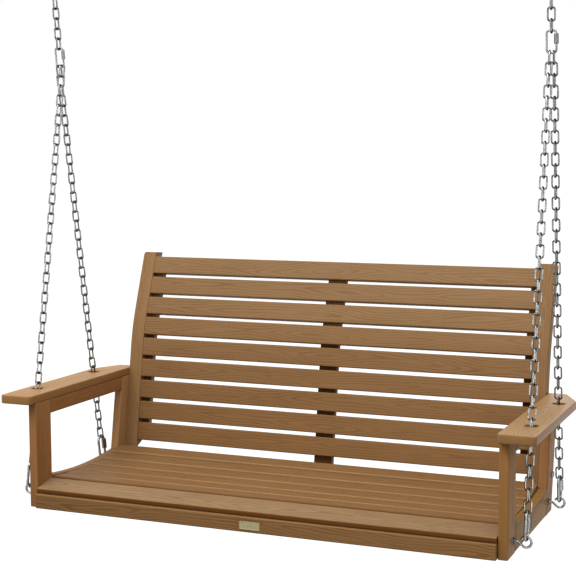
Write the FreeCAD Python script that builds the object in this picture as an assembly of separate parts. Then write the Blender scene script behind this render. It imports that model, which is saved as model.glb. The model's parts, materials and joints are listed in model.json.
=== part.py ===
import FreeCAD, Part
import math
import os

Vector = FreeCAD.Vector

# Driving dimensions in millimetres, in the seat's own level position:
# x runs across the seat, y runs back from the front posts, z runs up from their feet.

# Side frames
inner_width = 1190.0
frame_thickness = 23.0
frame_board = 70.0
frame_height = 267.0
upper_rail_depth = 36.0
lower_rail_front_height = 71.0
lower_rail_rear_height = 68.0
lower_rail_waist_height = 58.0
post_ahead_of_stile = 41.3
rear_post_rake = math.radians(9.93)

# Armrests
arm_width = 88.0
arm_thickness = 22.0
arm_front = -28.0
arm_behind_stile = 77.7
arm_corner_radius = 10.0
arm_taper_width = 40.0
arm_taper_length = 90.0
slot_length = 30.0
slot_width = 27.0
slot_corner = 5.0

# Boards
eased_edge = 2.0
longest_sawn_edge = 98.0
slat_thickness = 19.0
slat_width = 50.0

# Seat
apron_front = -13.0
apron_thickness = 22.0
apron_bottom = 0.5
apron_top = 38.0
cross_end_gap = 1.0
front_board_width = 70.0
front_board_thickness = 12.7
front_board_start = -8.3
front_board_height = 50.7
front_board_slope = math.radians(12.0)
seat_slat_count = 6
seat_slat_pitch = 60.0
seat_slat_end_gap = 2.0
first_slat_front = 71.0
dish_radius = 1260.0
dish_lowest_y = 200.0
dish_lowest_height = 59.6
support_thickness = 22.0
support_foot = 3.0
rail_top = 60.0

# Back
seat_to_back_gap = 16.3
stile_depth = 38.0
stile_strip = 38.0
stile_ledge = 24.0
lower_rake = math.radians(9.0)
upper_rake = math.radians(20.7)
bend_height = 399.1
bend_radius = 520.0
stile_top = 611.0
stile_corner = 8.0
stile_top_cut = math.radians(16.0)
stile_end_height = 65.3
stile_end_cut = math.radians(33.5)
back_slat_count = 9
back_slat_pitch = 59.8
back_slat_end_gap = 0.5
top_slat_drop = 12.0
centre_stile_width = 50.5
centre_stile_drop = 17.0

# Stile bolts through the rear posts
bolt_shank_radius = 3.5
bolt_head_radius = 7.5
bolt_head_height = 5.0
bolt_head_round = 2.4
bolt_length = 56.0
bolt_heights = (92.0, 215.0)
bolt_from_stile_front = 13.0
hole_clearance = 0.15

# Eye bolts
eye_wire = 6.0
eye_hole_radius = 3.3
eye_radius = 12.0
eye_height = 33.5
eye_front_y = 47.0
eye_behind_post_foot = 20.5
eye_from_frame = 30.0
eye_neck = 17.5
eye_neck_bend = 3.0
eye_top_step_count = 7
eye_end_step_count = 2
eye_nut_flats = 11.0
eye_nut_height = 5.0
washer_radius = 8.5
washer_thickness = 1.6
shank_tail = 4.0

# Chain
chain_wire = 4.0
chain_pitch = 26.0
chain_width = 20.5
chain_corner = 4.2
leg_link_count = 40
upper_link_count = 6

# Lower quick links
lower_wire = 7.0
lower_length = 71.0
lower_width = 35.0
lower_sleeve_length = 28.0
lower_sleeve_flats = 12.0
lower_sleeve_travel = 8.0

# Upper quick links
upper_wire = 5.0
upper_length = 55.0
upper_width = 27.0
upper_corner = 5.0
upper_sleeve_length = 23.0
upper_sleeve_flats = 9.5
upper_sleeve_travel = 10.0
leg_spread = 5.0
top_links_turn = 17.0

# Ceiling hooks
hook_wire = 9.5
hook_bend = 18.75
hook_drop = 45.0
hook_shank_end = 29.0
hook_start_angle = math.radians(54.0)
hook_bottom_step_count = 6
hook_end_step_count = 4
stud_radius = 4.0
stud_length = 55.0
stud_point = 10.0
stud_tip_start = 3.6
stud_tip_radius = 0.5

# Clearances between pieces that move on each other
pivot_gap = 0.5
sleeve_gap = 0.1
gap_below_bend = 2.0
sleeve_overlap = 1.6

# How far a cutter reaches past what it cuts
cut_past = 1.0

# Facets of bent wire, washers and bolt heads
wire_side_count = 8
head_side_count = 12
corner_step_count = 2

# Densities in kilograms per cubic millimetre
board_density = 1.10e-6
steel_density = 7.85e-6

# Worked-out places
half_inner = inner_width / 2
half_outer = half_inner + frame_thickness
cross_half = half_inner - cross_end_gap
arm_bottom = frame_height
arm_top = frame_height + arm_thickness
last_slat_front = first_slat_front + (seat_slat_count - 1) * seat_slat_pitch
stile_foot_front = last_slat_front + slat_width + seat_to_back_gap
rear_post_foot = stile_foot_front - post_ahead_of_stile
arm_rear = stile_foot_front + arm_behind_stile
eye_x = half_outer + eye_from_frame
eye_rear_y = rear_post_foot + eye_behind_post_foot

side_names = {-1: "left", 1: "right"}


def at(y, z, x=0.0):
    return Vector(x, y, z)


def line(a, b):
    return Part.LineSegment(a, b).toShape()


def arc(a, middle, b):
    return Part.Arc(a, middle, b).toShape()


def extruded(edges, direction):
    return Part.Face(Part.Wire(edges)).extrude(direction)


def polygon_prism(points, direction):
    return Part.Face(Part.makePolygon(points + points[:1])).extrude(direction)


def eased_board(corner, along, through, width, thickness, half_length):
    """Board that runs across the seat. Its section starts at a corner, with unit vectors along its
    width and through its thickness, and its four long edges are eased."""
    corners = [corner, corner + along * width, corner + along * width + through * thickness,
               corner + through * thickness]
    section = []
    for index in range(4):
        here = corners[index]
        before = (corners[index - 1] - here).normalize()
        after = (corners[(index + 1) % 4] - here).normalize()
        section.append(here + before * eased_edge)
        section.append(here + after * eased_edge)
    board = polygon_prism(section, Vector(2 * half_length, 0, 0))
    board.translate(Vector(-half_length, 0, 0))
    return board


def with_long_edges_eased(board):
    """Eases the edges that run with the board and leaves its sawn ends square."""
    chosen = []
    for edge in board.Edges:
        ends = [vertex.Point.x for vertex in edge.Vertexes]
        if edge.Length > longest_sawn_edge and abs(ends[0] - ends[-1]) < 0.01:
            chosen.append(edge)
    return board.makeChamfer(eased_edge, chosen)


def side_board(edges, side):
    """Board of the side frame, drawn in its side view."""
    board = extruded(edges, Vector(frame_thickness, 0, 0))
    board.translate(Vector(half_inner if side > 0 else -half_outer, 0, 0))
    return with_long_edges_eased(board)


def ring_points(radius, sides):
    """Corners of an even-sided polygon round the origin, flat side to the right, whose area is the
    circle's."""
    step = 2 * math.pi / sides
    reach = radius * math.sqrt(step / math.sin(step))
    return [(reach * math.cos(step * (index + 0.5)), reach * math.sin(step * (index + 0.5)))
            for index in range(sides)]


def rod_x(radius, sides, x0, x1, y, z):
    """Many-sided rod that runs across the seat."""
    section = [Vector(x0, y + a, z + b) for a, b in ring_points(radius, sides)]
    return polygon_prism(section, Vector(x1 - x0, 0, 0))


def mirrored(shape):
    return shape.mirror(Vector(0, 0, 0), Vector(1, 0, 0))


def for_side(shape, side):
    """A piece drawn on the right is mirrored to the left."""
    return shape if side > 0 else mirrored(shape)


# Bent wire

def on_circle(centre, radius, angle):
    return (centre[0] + radius * math.cos(angle), centre[1] + radius * math.sin(angle))


def bend_points(centre, radius, start, end, steps):
    """Corners of equal straight runs round the outside of an arc. The first and last half run meet
    the arc's ends, so what bears on the bend at a run's middle bears where the arc is."""
    half = (end - start) / steps / 2
    reach = radius / math.cos(half)
    return [on_circle(centre, reach, start + half * (2 * index + 1)) for index in range(steps)]


def wire_form(points, wire):
    """Wire bent along points of the plane XZ, with an even-sided section of the round wire's area."""
    section = ring_points(wire / 2, wire_side_count)
    count = len(points)
    normals = []
    for index in range(count - 1):
        ax, az = points[index]
        bx, bz = points[index + 1]
        length = math.hypot(bx - ax, bz - az)
        normals.append((-(bz - az) / length, (bx - ax) / length))
    rings = []
    for index in range(count):
        before = normals[max(index - 1, 0)]
        after = normals[min(index, count - 2)]
        share = 1 + before[0] * after[0] + before[1] * after[1]
        mitre = ((before[0] + after[0]) / share, (before[1] + after[1]) / share)
        ring = []
        for out, across in section:
            ring.append(Vector(points[index][0] + mitre[0] * out, across,
                               points[index][1] + mitre[1] * out))
        rings.append(ring)
    faces = []
    for index in range(count - 1):
        near = rings[index]
        far = rings[index + 1]
        for corner in range(wire_side_count):
            following = (corner + 1) % wire_side_count
            loop = [near[corner], near[following], far[following], far[corner], near[corner]]
            faces.append(Part.Face(Part.makePolygon(loop)))
    for ring in (rings[0], rings[-1]):
        faces.append(Part.Face(Part.makePolygon(ring + ring[:1])))
    solid = Part.Solid(Part.Shell(faces))
    if solid.Volume < 0:
        solid.reverse()
    return solid


def chain_link():
    """One welded link in the plane XZ, with its lower bar's centre at the origin."""
    half_wire = chain_wire / 2 * math.sqrt(math.pi) / 2
    length = chain_pitch + chain_wire
    half_width = (chain_width - chain_wire) / 2
    outer_x = half_width + half_wire
    inner_x = half_width - half_wire
    low = -half_wire
    high = length + half_wire
    outline = [
        Vector(outer_x, -half_wire, low + chain_corner),
        Vector(outer_x, -half_wire, high - chain_corner),
        Vector(outer_x - chain_corner, -half_wire, high),
        Vector(chain_corner - outer_x, -half_wire, high),
        Vector(-outer_x, -half_wire, high - chain_corner),
        Vector(-outer_x, -half_wire, low + chain_corner),
        Vector(chain_corner - outer_x, -half_wire, low),
        Vector(outer_x - chain_corner, -half_wire, low),
    ]
    hole = [
        Vector(inner_x, -half_wire, half_wire),
        Vector(inner_x, -half_wire, length - half_wire),
        Vector(-inner_x, -half_wire, length - half_wire),
        Vector(-inner_x, -half_wire, half_wire),
    ]
    through = Vector(0, 2 * half_wire, 0)
    return polygon_prism(outline, through).cut(polygon_prism(hole, through))


def chain(count, first_turned):
    """A straight run of links up the Z axis, from the lowest link's lower bar."""
    link = chain_link()
    run = []
    for index in range(count):
        piece = link.copy()
        if (index % 2 == 0) == first_turned:
            piece.rotate(Vector(0, 0, 0), Vector(0, 0, 1), 90)
        piece.translate(Vector(0, 0, index * chain_pitch))
        run.append(piece)
    return run


def quick_link(length, width, wire, corner, sleeve_length, travel):
    """Open link in the plane XZ with its lower bar's centre at the origin. The gap in its +X side
    lies at the top of the straight run, where the raised sleeve bridges it."""
    half_width = (width - wire) / 2
    long_way = length - wire
    top_centre = long_way - corner
    side_x = half_width - corner
    gap_top = top_centre - gap_below_bend
    gap_bottom = gap_top - travel + sleeve_overlap
    centres = [(side_x, top_centre), (-side_x, top_centre), (-side_x, corner), (side_x, corner)]
    quarter = math.pi / 2
    points = [(half_width, gap_top)]
    for index, centre in enumerate(centres):
        points += bend_points(centre, corner, index * quarter, (index + 1) * quarter, corner_step_count)
    points.append((half_width, gap_bottom))
    return wire_form(points, wire)


def hexagon(flats):
    reach = flats / 2 / math.cos(math.pi / 6)
    return [(reach * math.cos(math.pi / 3 * (index + 0.5)), reach * math.sin(math.pi / 3 * (index + 0.5)))
            for index in range(6)]


def sleeve(length, width, wire, corner, sleeve_length, flats):
    """Hexagonal screw sleeve in its closed place, at the top of the link's straight +X side."""
    centre_x = (width - wire) / 2
    low = length - wire - corner - sleeve_length
    outer = [Vector(centre_x + a, b, low) for a, b in hexagon(flats)]
    inner = [Vector(centre_x + a, b, low) for a, b in ring_points(wire / 2 + sleeve_gap, wire_side_count)]
    rise = Vector(0, 0, sleeve_length)
    return polygon_prism(outer, rise).cut(polygon_prism(inner, rise))


# Side frames

def rear_post_front(z):
    return rear_post_foot + z * math.tan(rear_post_rake)


def rear_post_back(z):
    return rear_post_front(z) + frame_board


def front_post(side):
    corners = [at(0, 0), at(frame_board, 0), at(frame_board, frame_height), at(0, frame_height)]
    return side_board([line(corners[i], corners[(i + 1) % 4]) for i in range(4)], side)


def rear_post(side):
    corners = [at(rear_post_front(0), 0), at(rear_post_back(0), 0),
               at(rear_post_back(frame_height), frame_height),
               at(rear_post_front(frame_height), frame_height)]
    return side_board([line(corners[i], corners[(i + 1) % 4]) for i in range(4)], side)


def upper_rail(side):
    low = frame_height - upper_rail_depth
    corners = [at(frame_board, low), at(rear_post_front(low), low),
               at(rear_post_front(frame_height), frame_height), at(frame_board, frame_height)]
    return side_board([line(corners[i], corners[(i + 1) % 4]) for i in range(4)], side)


def lower_rail(side):
    rear_top = at(rear_post_front(lower_rail_rear_height), lower_rail_rear_height)
    front_top = at(frame_board, lower_rail_front_height)
    waist = at((front_top.y + rear_top.y) / 2, lower_rail_waist_height)
    front_foot = at(frame_board, 0)
    rear_foot = at(rear_post_front(0), 0)
    edges = [line(front_foot, rear_foot), line(rear_foot, rear_top), arc(rear_top, waist, front_top),
             line(front_top, front_foot)]
    return side_board(edges, side)


def slot_cutter(x, y):
    """Prism through the armrest with cut corners, round the place where a chain passes."""
    far_x = slot_length / 2
    far_y = slot_width / 2
    near_x = far_x - slot_corner
    near_y = far_y - slot_corner
    outline = [(far_x, near_y), (near_x, far_y), (-near_x, far_y), (-far_x, near_y),
               (-far_x, -near_y), (-near_x, -far_y), (near_x, -far_y), (far_x, -near_y)]
    low = arm_bottom - cut_past
    points = [Vector(x + a, y + b, low) for a, b in outline]
    return polygon_prism(points, Vector(0, 0, arm_thickness + 2 * cut_past))


def armrest(side):
    inner = half_inner
    outer = inner + arm_width
    corner = arm_corner_radius
    diagonal = corner * (1 - math.sqrt(0.5))
    level = arm_bottom
    points = {
        "inner rear": Vector(inner, arm_rear, level),
        "taper rear": Vector(inner + arm_width - arm_taper_width, arm_rear, level),
        "taper front": Vector(outer, arm_rear - arm_taper_length, level),
        "outer": Vector(outer, arm_front + corner, level),
        "outer middle": Vector(outer - diagonal, arm_front + diagonal, level),
        "outer front": Vector(outer - corner, arm_front, level),
        "inner front": Vector(inner + corner, arm_front, level),
        "inner middle": Vector(inner + diagonal, arm_front + diagonal, level),
        "inner": Vector(inner, arm_front + corner, level),
    }
    edges = [
        line(points["inner rear"], points["taper rear"]),
        line(points["taper rear"], points["taper front"]),
        line(points["taper front"], points["outer"]),
        arc(points["outer"], points["outer middle"], points["outer front"]),
        line(points["outer front"], points["inner front"]),
        arc(points["inner front"], points["inner middle"], points["inner"]),
        line(points["inner"], points["inner rear"]),
    ]
    board = extruded(edges, Vector(0, 0, arm_thickness))
    rims = [edge for edge in board.Edges if abs(edge.BoundBox.ZMax - edge.BoundBox.ZMin) < 0.01]
    board = board.makeChamfer(eased_edge, rims)
    for foot_y in (eye_front_y, eye_rear_y):
        place = leg_point(foot_y, (arm_bottom + arm_top) / 2)
        board = board.cut(slot_cutter(place.x, place.y))
    return for_side(board, side)


# Back

def back_path(depth):
    """Points of the back's side view at a depth behind its front face: foot, start of the bend,
    middle, end of the bend, and the direction and place of the straight above it."""
    low = Vector(0, math.sin(lower_rake), math.cos(lower_rake))
    high = Vector(0, math.sin(upper_rake), math.cos(upper_rake))
    foot = at(stile_foot_front, 0)
    corner = foot + low * (bend_height / low.z)
    tangent = bend_radius * math.tan((upper_rake - lower_rake) / 2)
    start = corner - low * tangent
    end = corner + high * tangent
    centre = start + Vector(0, low.z, -low.y) * bend_radius
    mean = (lower_rake + upper_rake) / 2
    middle = centre + Vector(0, -math.cos(mean), math.sin(mean)) * bend_radius
    top = end + high * ((stile_top - end.z) / high.z)
    inward_low = Vector(0, low.z, -low.y) * depth
    inward_high = Vector(0, high.z, -high.y) * depth
    inward_middle = Vector(0, math.cos(mean), -math.sin(mean)) * depth
    shifted_foot = foot + inward_low
    shifted_foot = shifted_foot - low * (shifted_foot.z / low.z)
    return {
        "foot": shifted_foot,
        "start": start + inward_low,
        "middle": middle + inward_middle,
        "end": end + inward_high,
        "top": top + inward_high,
        "low": low,
        "high": high,
    }


def back_front(z):
    return stile_foot_front + z * math.tan(lower_rake)


def up_the_back(height, depth, cut=0.0):
    """Way up a line of the back, at a depth behind its front, to an end that starts at a height in
    front and goes back square, or rises by an angle."""
    return height / math.cos(lower_rake) + depth * (math.tan(cut) - math.tan(lower_rake))


def back_sheet(near_depth, far_depth, x0, x1, shortened=0.0, near_start=0.0, far_start=0.0, far_rise=0.0):
    """Slice of the bent back between two depths and two places across, from the floor line up or
    from higher starts."""
    near = back_path(near_depth)
    far = back_path(far_depth)
    near_foot = near["foot"] + near["low"] * near_start
    far_foot = far["foot"] + far["low"] * far_start
    near_top = near["top"] - near["high"] * shortened
    far_top = far["top"] + far["high"] * (far_rise - shortened)
    edges = [
        line(near_foot, near["start"]),
        arc(near["start"], near["middle"], near["end"]),
        line(near["end"], near_top),
        line(near_top, far_top),
        line(far_top, far["end"]),
        arc(far["end"], far["middle"], far["start"]),
        line(far["start"], far_foot),
        line(far_foot, near_foot),
    ]
    sheet = extruded(edges, Vector(x1 - x0, 0, 0))
    sheet.translate(Vector(x0, 0, 0))
    return sheet


def back_place(distance):
    """Point and upward direction on the back's front face, measured down from the stile's top."""
    path = back_path(0.0)
    straight = (path["top"] - path["end"]).Length
    bend = bend_radius * (upper_rake - lower_rake)
    if distance < straight:
        return path["top"] - path["high"] * distance, upper_rake
    if distance < straight + bend:
        angle = upper_rake - (distance - straight) / bend_radius
        centre = path["start"] + Vector(0, path["low"].z, -path["low"].y) * bend_radius
        return centre + Vector(0, -math.cos(angle), math.sin(angle)) * bend_radius, angle
    return path["start"] - path["low"] * (distance - straight - bend), lower_rake


def back_stile(side):
    """Rabbeted stile: an outer strip flush with the slats and a ledge behind their ends. The strip
    ends in a slanted cut behind the seat, and the ledge ends with the lowest slat."""
    strip_inner = half_inner - stile_strip
    strip = back_sheet(0.0, stile_depth, strip_inner, half_inner,
                       near_start=up_the_back(stile_end_height, 0.0),
                       far_start=up_the_back(stile_end_height, stile_depth, stile_end_cut),
                       far_rise=stile_depth * math.tan(stile_top_cut))
    corners = []
    for edge in strip.Edges:
        outermost = edge.BoundBox.XMin > half_inner - eased_edge
        if outermost and edge.BoundBox.ZMin > stile_top - stile_depth and edge.Length < 2 * stile_depth:
            corners.append(edge)
    strip = strip.makeFillet(stile_corner, corners)
    slats_end = top_slat_drop + (back_slat_count - 1) * back_slat_pitch + slat_width
    ledge_end = back_place(slats_end)[0].z
    ledge = back_sheet(slat_thickness, stile_depth, strip_inner - stile_ledge, strip_inner, top_slat_drop,
                       up_the_back(ledge_end, slat_thickness), up_the_back(ledge_end, stile_depth))
    stile = strip.fuse(ledge).removeSplitter()
    for height in bolt_heights:
        y = stile_bolt_y(height)
        stile = stile.cut(rod_x(bolt_shank_radius + hole_clearance, wire_side_count,
                                half_outer - bolt_length - cut_past, half_outer, y, height))
    return for_side(stile, side)


def centre_stile():
    half = centre_stile_width / 2
    return back_sheet(slat_thickness, stile_depth, -half, half, centre_stile_drop)


def back_slat(index):
    """Slats count down from the top. Each lies flat on the stiles' ledges."""
    distance = top_slat_drop + index * back_slat_pitch + slat_width / 2
    place, rake = back_place(distance)
    up = Vector(0, math.sin(rake), math.cos(rake))
    inward = Vector(0, math.cos(rake), -math.sin(rake))
    half_length = half_inner - stile_strip - back_slat_end_gap
    return eased_board(place - up * (slat_width / 2), up, inward, slat_width, slat_thickness,
                       half_length)


def rear_seat_rail():
    """Board in the slats' plane below the seat, on the rear ends of the seat supports."""
    up = Vector(0, math.sin(lower_rake), math.cos(lower_rake))
    inward = Vector(0, math.cos(lower_rake), -math.sin(lower_rake))
    foot = at(back_front(support_foot), support_foot)
    return eased_board(foot, up, inward, (rail_top - support_foot) / up.z, slat_thickness,
                       cross_half)


def stile_bolt_y(height):
    return back_front(height) + bolt_from_stile_front / math.cos(lower_rake)


def stile_bolts():
    """Pan-head bolts from the rear posts' outer faces into the stiles."""
    bolts = []
    for side in (-1, 1):
        for height in bolt_heights:
            y = stile_bolt_y(height)
            top = half_outer + bolt_head_height
            tip = half_outer - bolt_length
            shank = rod_x(bolt_shank_radius, wire_side_count, tip, half_outer, y, height)
            head = rod_x(bolt_head_radius, head_side_count, half_outer, top, y, height)
            rim = [edge for edge in head.Edges if edge.BoundBox.XMin > top - 0.01]
            head = head.makeChamfer(bolt_head_round, rim)
            bolts.append(for_side(shank.fuse(head).removeSplitter(), side))
    return bolts


# Seat

def front_apron():
    return eased_board(at(apron_front, apron_top), Vector(0, 0, -1), Vector(0, 1, 0),
                       apron_top - apron_bottom, apron_thickness, cross_half)


def front_board():
    along = Vector(0, math.cos(front_board_slope), math.sin(front_board_slope))
    down = Vector(0, math.sin(front_board_slope), -math.cos(front_board_slope))
    return eased_board(at(front_board_start, front_board_height), along, down, front_board_width,
                       front_board_thickness, cross_half)


def dish_centre():
    return at(dish_lowest_y, dish_lowest_height + dish_radius)


def slat_angle(index):
    first = math.asin((first_slat_front + slat_width / 2 - dish_lowest_y) / dish_radius)
    return first + index * seat_slat_pitch / dish_radius


def seat_slat(index):
    """Flat slat whose underside rests with its two edges on the dished supports."""
    angle = slat_angle(index)
    along = Vector(0, math.cos(angle), math.sin(angle))
    down = Vector(0, math.sin(angle), -math.cos(angle))
    flat = slat_width / 2 - eased_edge
    support_radius = dish_radius + slat_thickness
    reach = math.sqrt(support_radius ** 2 - flat ** 2) - slat_thickness
    corner = dish_centre() + down * reach - along * (slat_width / 2)
    return eased_board(corner, along, down, slat_width, slat_thickness,
                       half_inner - seat_slat_end_gap)


def on_dish(y):
    """Point of the supports' dished top edge."""
    centre = dish_centre()
    radius = dish_radius + slat_thickness
    return at(y, centre.z - math.sqrt(radius ** 2 - (y - centre.y) ** 2))


def seat_support(x0, x1):
    """Board on edge under the slats: a slope for the front board, then the dish."""
    front = apron_front + apron_thickness
    slope = math.tan(front_board_slope)
    lower_edge_y = front_board_start + front_board_thickness * math.sin(front_board_slope)
    lower_edge_z = front_board_height - front_board_thickness * math.cos(front_board_slope)
    crest_y = lower_edge_y + front_board_width * math.cos(front_board_slope)
    crest_z = lower_edge_z + (crest_y - lower_edge_y) * slope
    dish_start = on_dish(crest_y)
    last = slat_angle(seat_slat_count - 1)
    dish_end = on_dish(dish_lowest_y + dish_radius * math.sin(last) + slat_width / 2)
    dish_middle = on_dish((dish_start.y + dish_end.y) / 2)
    edges = [
        line(at(front, support_foot), at(front, lower_edge_z + (front - lower_edge_y) * slope)),
        line(at(front, lower_edge_z + (front - lower_edge_y) * slope), at(crest_y, crest_z)),
        line(at(crest_y, crest_z), dish_start),
        arc(dish_start, dish_middle, dish_end),
        line(dish_end, at(back_front(dish_end.z), dish_end.z)),
        line(at(back_front(dish_end.z), dish_end.z), at(back_front(support_foot), support_foot)),
        line(at(back_front(support_foot), support_foot), at(front, support_foot)),
    ]
    board = extruded(edges, Vector(x1 - x0, 0, 0))
    board.translate(Vector(x0, 0, 0))
    return board


def side_support(side):
    board = seat_support(half_inner - support_thickness, half_inner)
    near = half_inner - support_thickness - cut_past
    far = half_inner + cut_past
    for y in (eye_front_y, eye_rear_y):
        board = board.cut(rod_x(eye_hole_radius, wire_side_count, near, far, y, eye_height))
    return for_side(board, side)


def centre_support():
    return seat_support(-support_thickness / 2, support_thickness / 2)


def drilled_post(post, side, y, radius, height):
    hole = rod_x(radius, wire_side_count, half_inner - cut_past, half_outer + cut_past, y, height)
    return post.cut(for_side(hole, side))


# Eye bolts

def eye_bolt():
    """Bent eye bolt of the right side: a level shank, a sharp neck and a nearly closed eye."""
    neck_x = eye_x - eye_neck
    turn = math.asin(eye_radius / eye_neck)
    touch = 1.5 * math.pi - turn
    inner_end = half_inner - support_thickness - washer_thickness - eye_nut_height - shank_tail
    top = 2.5 * math.pi
    end = top + (top - touch) * eye_end_step_count / eye_top_step_count
    centre = (eye_x, eye_height)
    points = [(inner_end, eye_height), (neck_x - eye_neck_bend, eye_height),
              (neck_x + eye_neck_bend * math.cos(turn), eye_height - eye_neck_bend * math.sin(turn))]
    points += bend_points(centre, eye_radius, touch, end, eye_top_step_count + eye_end_step_count)
    points.append(on_circle(centre, eye_radius, end))
    return wire_form(points, eye_wire)


def eye_places():
    return [(side, y) for side in (-1, 1) for y in (eye_front_y, eye_rear_y)]


def eye_bolts():
    bolts = []
    for side, y in eye_places():
        bolt = eye_bolt()
        bolt.translate(Vector(0, y, 0))
        bolts.append(for_side(bolt, side))
    return bolts


def hex_nut(x0, x1, y):
    points = [Vector(x0, y + a, eye_height + b) for a, b in hexagon(eye_nut_flats)]
    nut = polygon_prism(points, Vector(x1 - x0, 0, 0))
    bore = rod_x(eye_hole_radius, wire_side_count, x0 - cut_past, x1 + cut_past, y, eye_height)
    return nut.cut(bore)


def washer(x0, y):
    x1 = x0 + washer_thickness
    disc = rod_x(washer_radius, head_side_count, x0, x1, y, eye_height)
    bore = rod_x(eye_hole_radius, wire_side_count, x0 - cut_past, x1 + cut_past, y, eye_height)
    return disc.cut(bore)


def eye_bolt_nuts():
    nuts = []
    inner = half_inner - support_thickness - washer_thickness
    outer = half_outer + washer_thickness
    for side, y in eye_places():
        nuts.append(for_side(hex_nut(outer, outer + eye_nut_height, y), side))
        nuts.append(for_side(hex_nut(inner - eye_nut_height, inner, y), side))
    return nuts


def eye_bolt_washers():
    washers = []
    for side, y in eye_places():
        washers.append(for_side(washer(half_outer, y), side))
        washers.append(for_side(washer(half_inner - support_thickness - washer_thickness, y), side))
    return washers


# Hanging chains

lower_pivot_height = eye_height + eye_radius - (eye_wire + lower_wire) / 2 - pivot_gap
lower_link_reach = lower_length - lower_wire
chain_start = lower_link_reach - (lower_wire + chain_wire) / 2
leg_length = chain_start + leg_link_count * chain_pitch + chain_wire - (upper_wire + chain_wire) / 2
half_spread = (eye_rear_y - eye_front_y) / 2
apex_y = (eye_rear_y + eye_front_y) / 2
apex_height = lower_pivot_height + math.sqrt(leg_length ** 2 - half_spread ** 2 - leg_spread ** 2)


def leg_top(foot_y):
    """The two legs of one side hang next to each other, the front one nearer the middle."""
    inward = -leg_spread if foot_y == eye_front_y else leg_spread
    return Vector(eye_x + inward, apex_y, apex_height)


def leg_foot(foot_y):
    return Vector(eye_x, foot_y, lower_pivot_height)


def leg_point(foot_y, height):
    foot = leg_foot(foot_y)
    way = leg_top(foot_y) - foot
    return foot + way * ((height - foot.z) / way.z)


def along_leg(pieces, foot_y, side):
    """Carries pieces drawn up the Z axis to the right side's leg, then to the wanted side."""
    foot = leg_foot(foot_y)
    way = leg_top(foot_y) - foot
    lean = FreeCAD.Rotation(Vector(0, 0, 1), way)
    placed = []
    for piece in pieces:
        moved = piece.copy()
        moved.Placement = FreeCAD.Placement(foot, lean).multiply(moved.Placement)
        placed.append(for_side(moved, side))
    return placed


def leg_chain(foot_y, side):
    """One leg of links. The two top ones are turned a little, clear of the other leg's."""
    run = chain(leg_link_count, False)
    for link in run:
        link.translate(Vector(0, 0, chain_start))
    run[-1].rotate(Vector(0, 0, 0), Vector(0, 0, 1), top_links_turn)
    run[-2].rotate(Vector(0, 0, 0), Vector(0, 0, 1), -top_links_turn)
    return along_leg(run, foot_y, side)


def turned_to_back(shape):
    """From the plane XZ to the plane YZ, with the +X side turned to the back."""
    turned = shape.copy()
    turned.rotate(Vector(0, 0, 0), Vector(0, 0, 1), 90)
    return turned


def lower_quick_link(foot_y, side):
    corner = (lower_width - lower_wire) / 2
    link = quick_link(lower_length, lower_width, lower_wire, corner, lower_sleeve_length,
                      lower_sleeve_travel)
    return along_leg([turned_to_back(link)], foot_y, side)


def lower_sleeve(foot_y, side):
    corner = (lower_width - lower_wire) / 2
    piece = sleeve(lower_length, lower_width, lower_wire, corner, lower_sleeve_length,
                   lower_sleeve_flats)
    return along_leg([turned_to_back(piece)], foot_y, side)


# Pieces above the legs, measured down from the ceiling

hook_low = -hook_drop - hook_bend
swivel_top = hook_low + (hook_wire + chain_wire) / 2 + pivot_gap
swivel_low = swivel_top - chain_pitch - chain_wire
chain_low = swivel_low - upper_link_count * chain_pitch
upper_link_top = chain_low + (upper_wire + chain_wire) / 2
apex_below_ceiling = upper_link_top - (upper_length - upper_wire)


def ceiling_hook(side):
    """Screw hook: a plain stud up into the beam, a shank, and a round hook that opens outwards."""
    centre = (0.0, -hook_drop)
    bottom = -math.pi / 2
    end = bottom - (hook_start_angle - bottom) * hook_end_step_count / hook_bottom_step_count
    points = [(0.0, 0.0), (0.0, centre[1] + hook_shank_end)]
    points += bend_points(centre, hook_bend, hook_start_angle, end,
                          hook_bottom_step_count + hook_end_step_count)
    points.append(on_circle(centre, hook_bend, end))
    body = wire_form(points, hook_wire)
    stud = Part.makeCylinder(stud_radius, stud_length - stud_point + hook_wire, Vector(0, 0, -hook_wire))
    rings = []
    for radius, height in ((stud_tip_start, stud_length - stud_point), (stud_tip_radius, stud_length)):
        ring = [Vector(a, b, height) for a, b in ring_points(radius, wire_side_count)]
        rings.append(Part.makePolygon(ring + ring[:1]))
    hook = body.fuse([stud, Part.makeLoft(rings, True, True)]).removeSplitter()
    hook = mirrored(hook)
    hook.translate(Vector(eye_x, 0, 0))
    return for_side(hook, side)


def at_hook(pieces, height, side):
    placed = []
    for piece in pieces:
        moved = piece.copy()
        moved.translate(Vector(side * eye_x, 0, height))
        placed.append(moved)
    return placed


def swivel_link(side):
    return at_hook([turned_to_back(chain_link())], swivel_low, side)


def upper_chain(side):
    return at_hook(chain(upper_link_count, True), chain_low, side)


def upper_quick_link(side):
    link = quick_link(upper_length, upper_width, upper_wire, upper_corner, upper_sleeve_length,
                      upper_sleeve_travel)
    return at_hook([link], apex_below_ceiling, side)


def upper_sleeve(side):
    piece = sleeve(upper_length, upper_width, upper_wire, upper_corner, upper_sleeve_length,
                   upper_sleeve_flats)
    return at_hook([piece], apex_below_ceiling, side)


# The hanging seat

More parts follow.
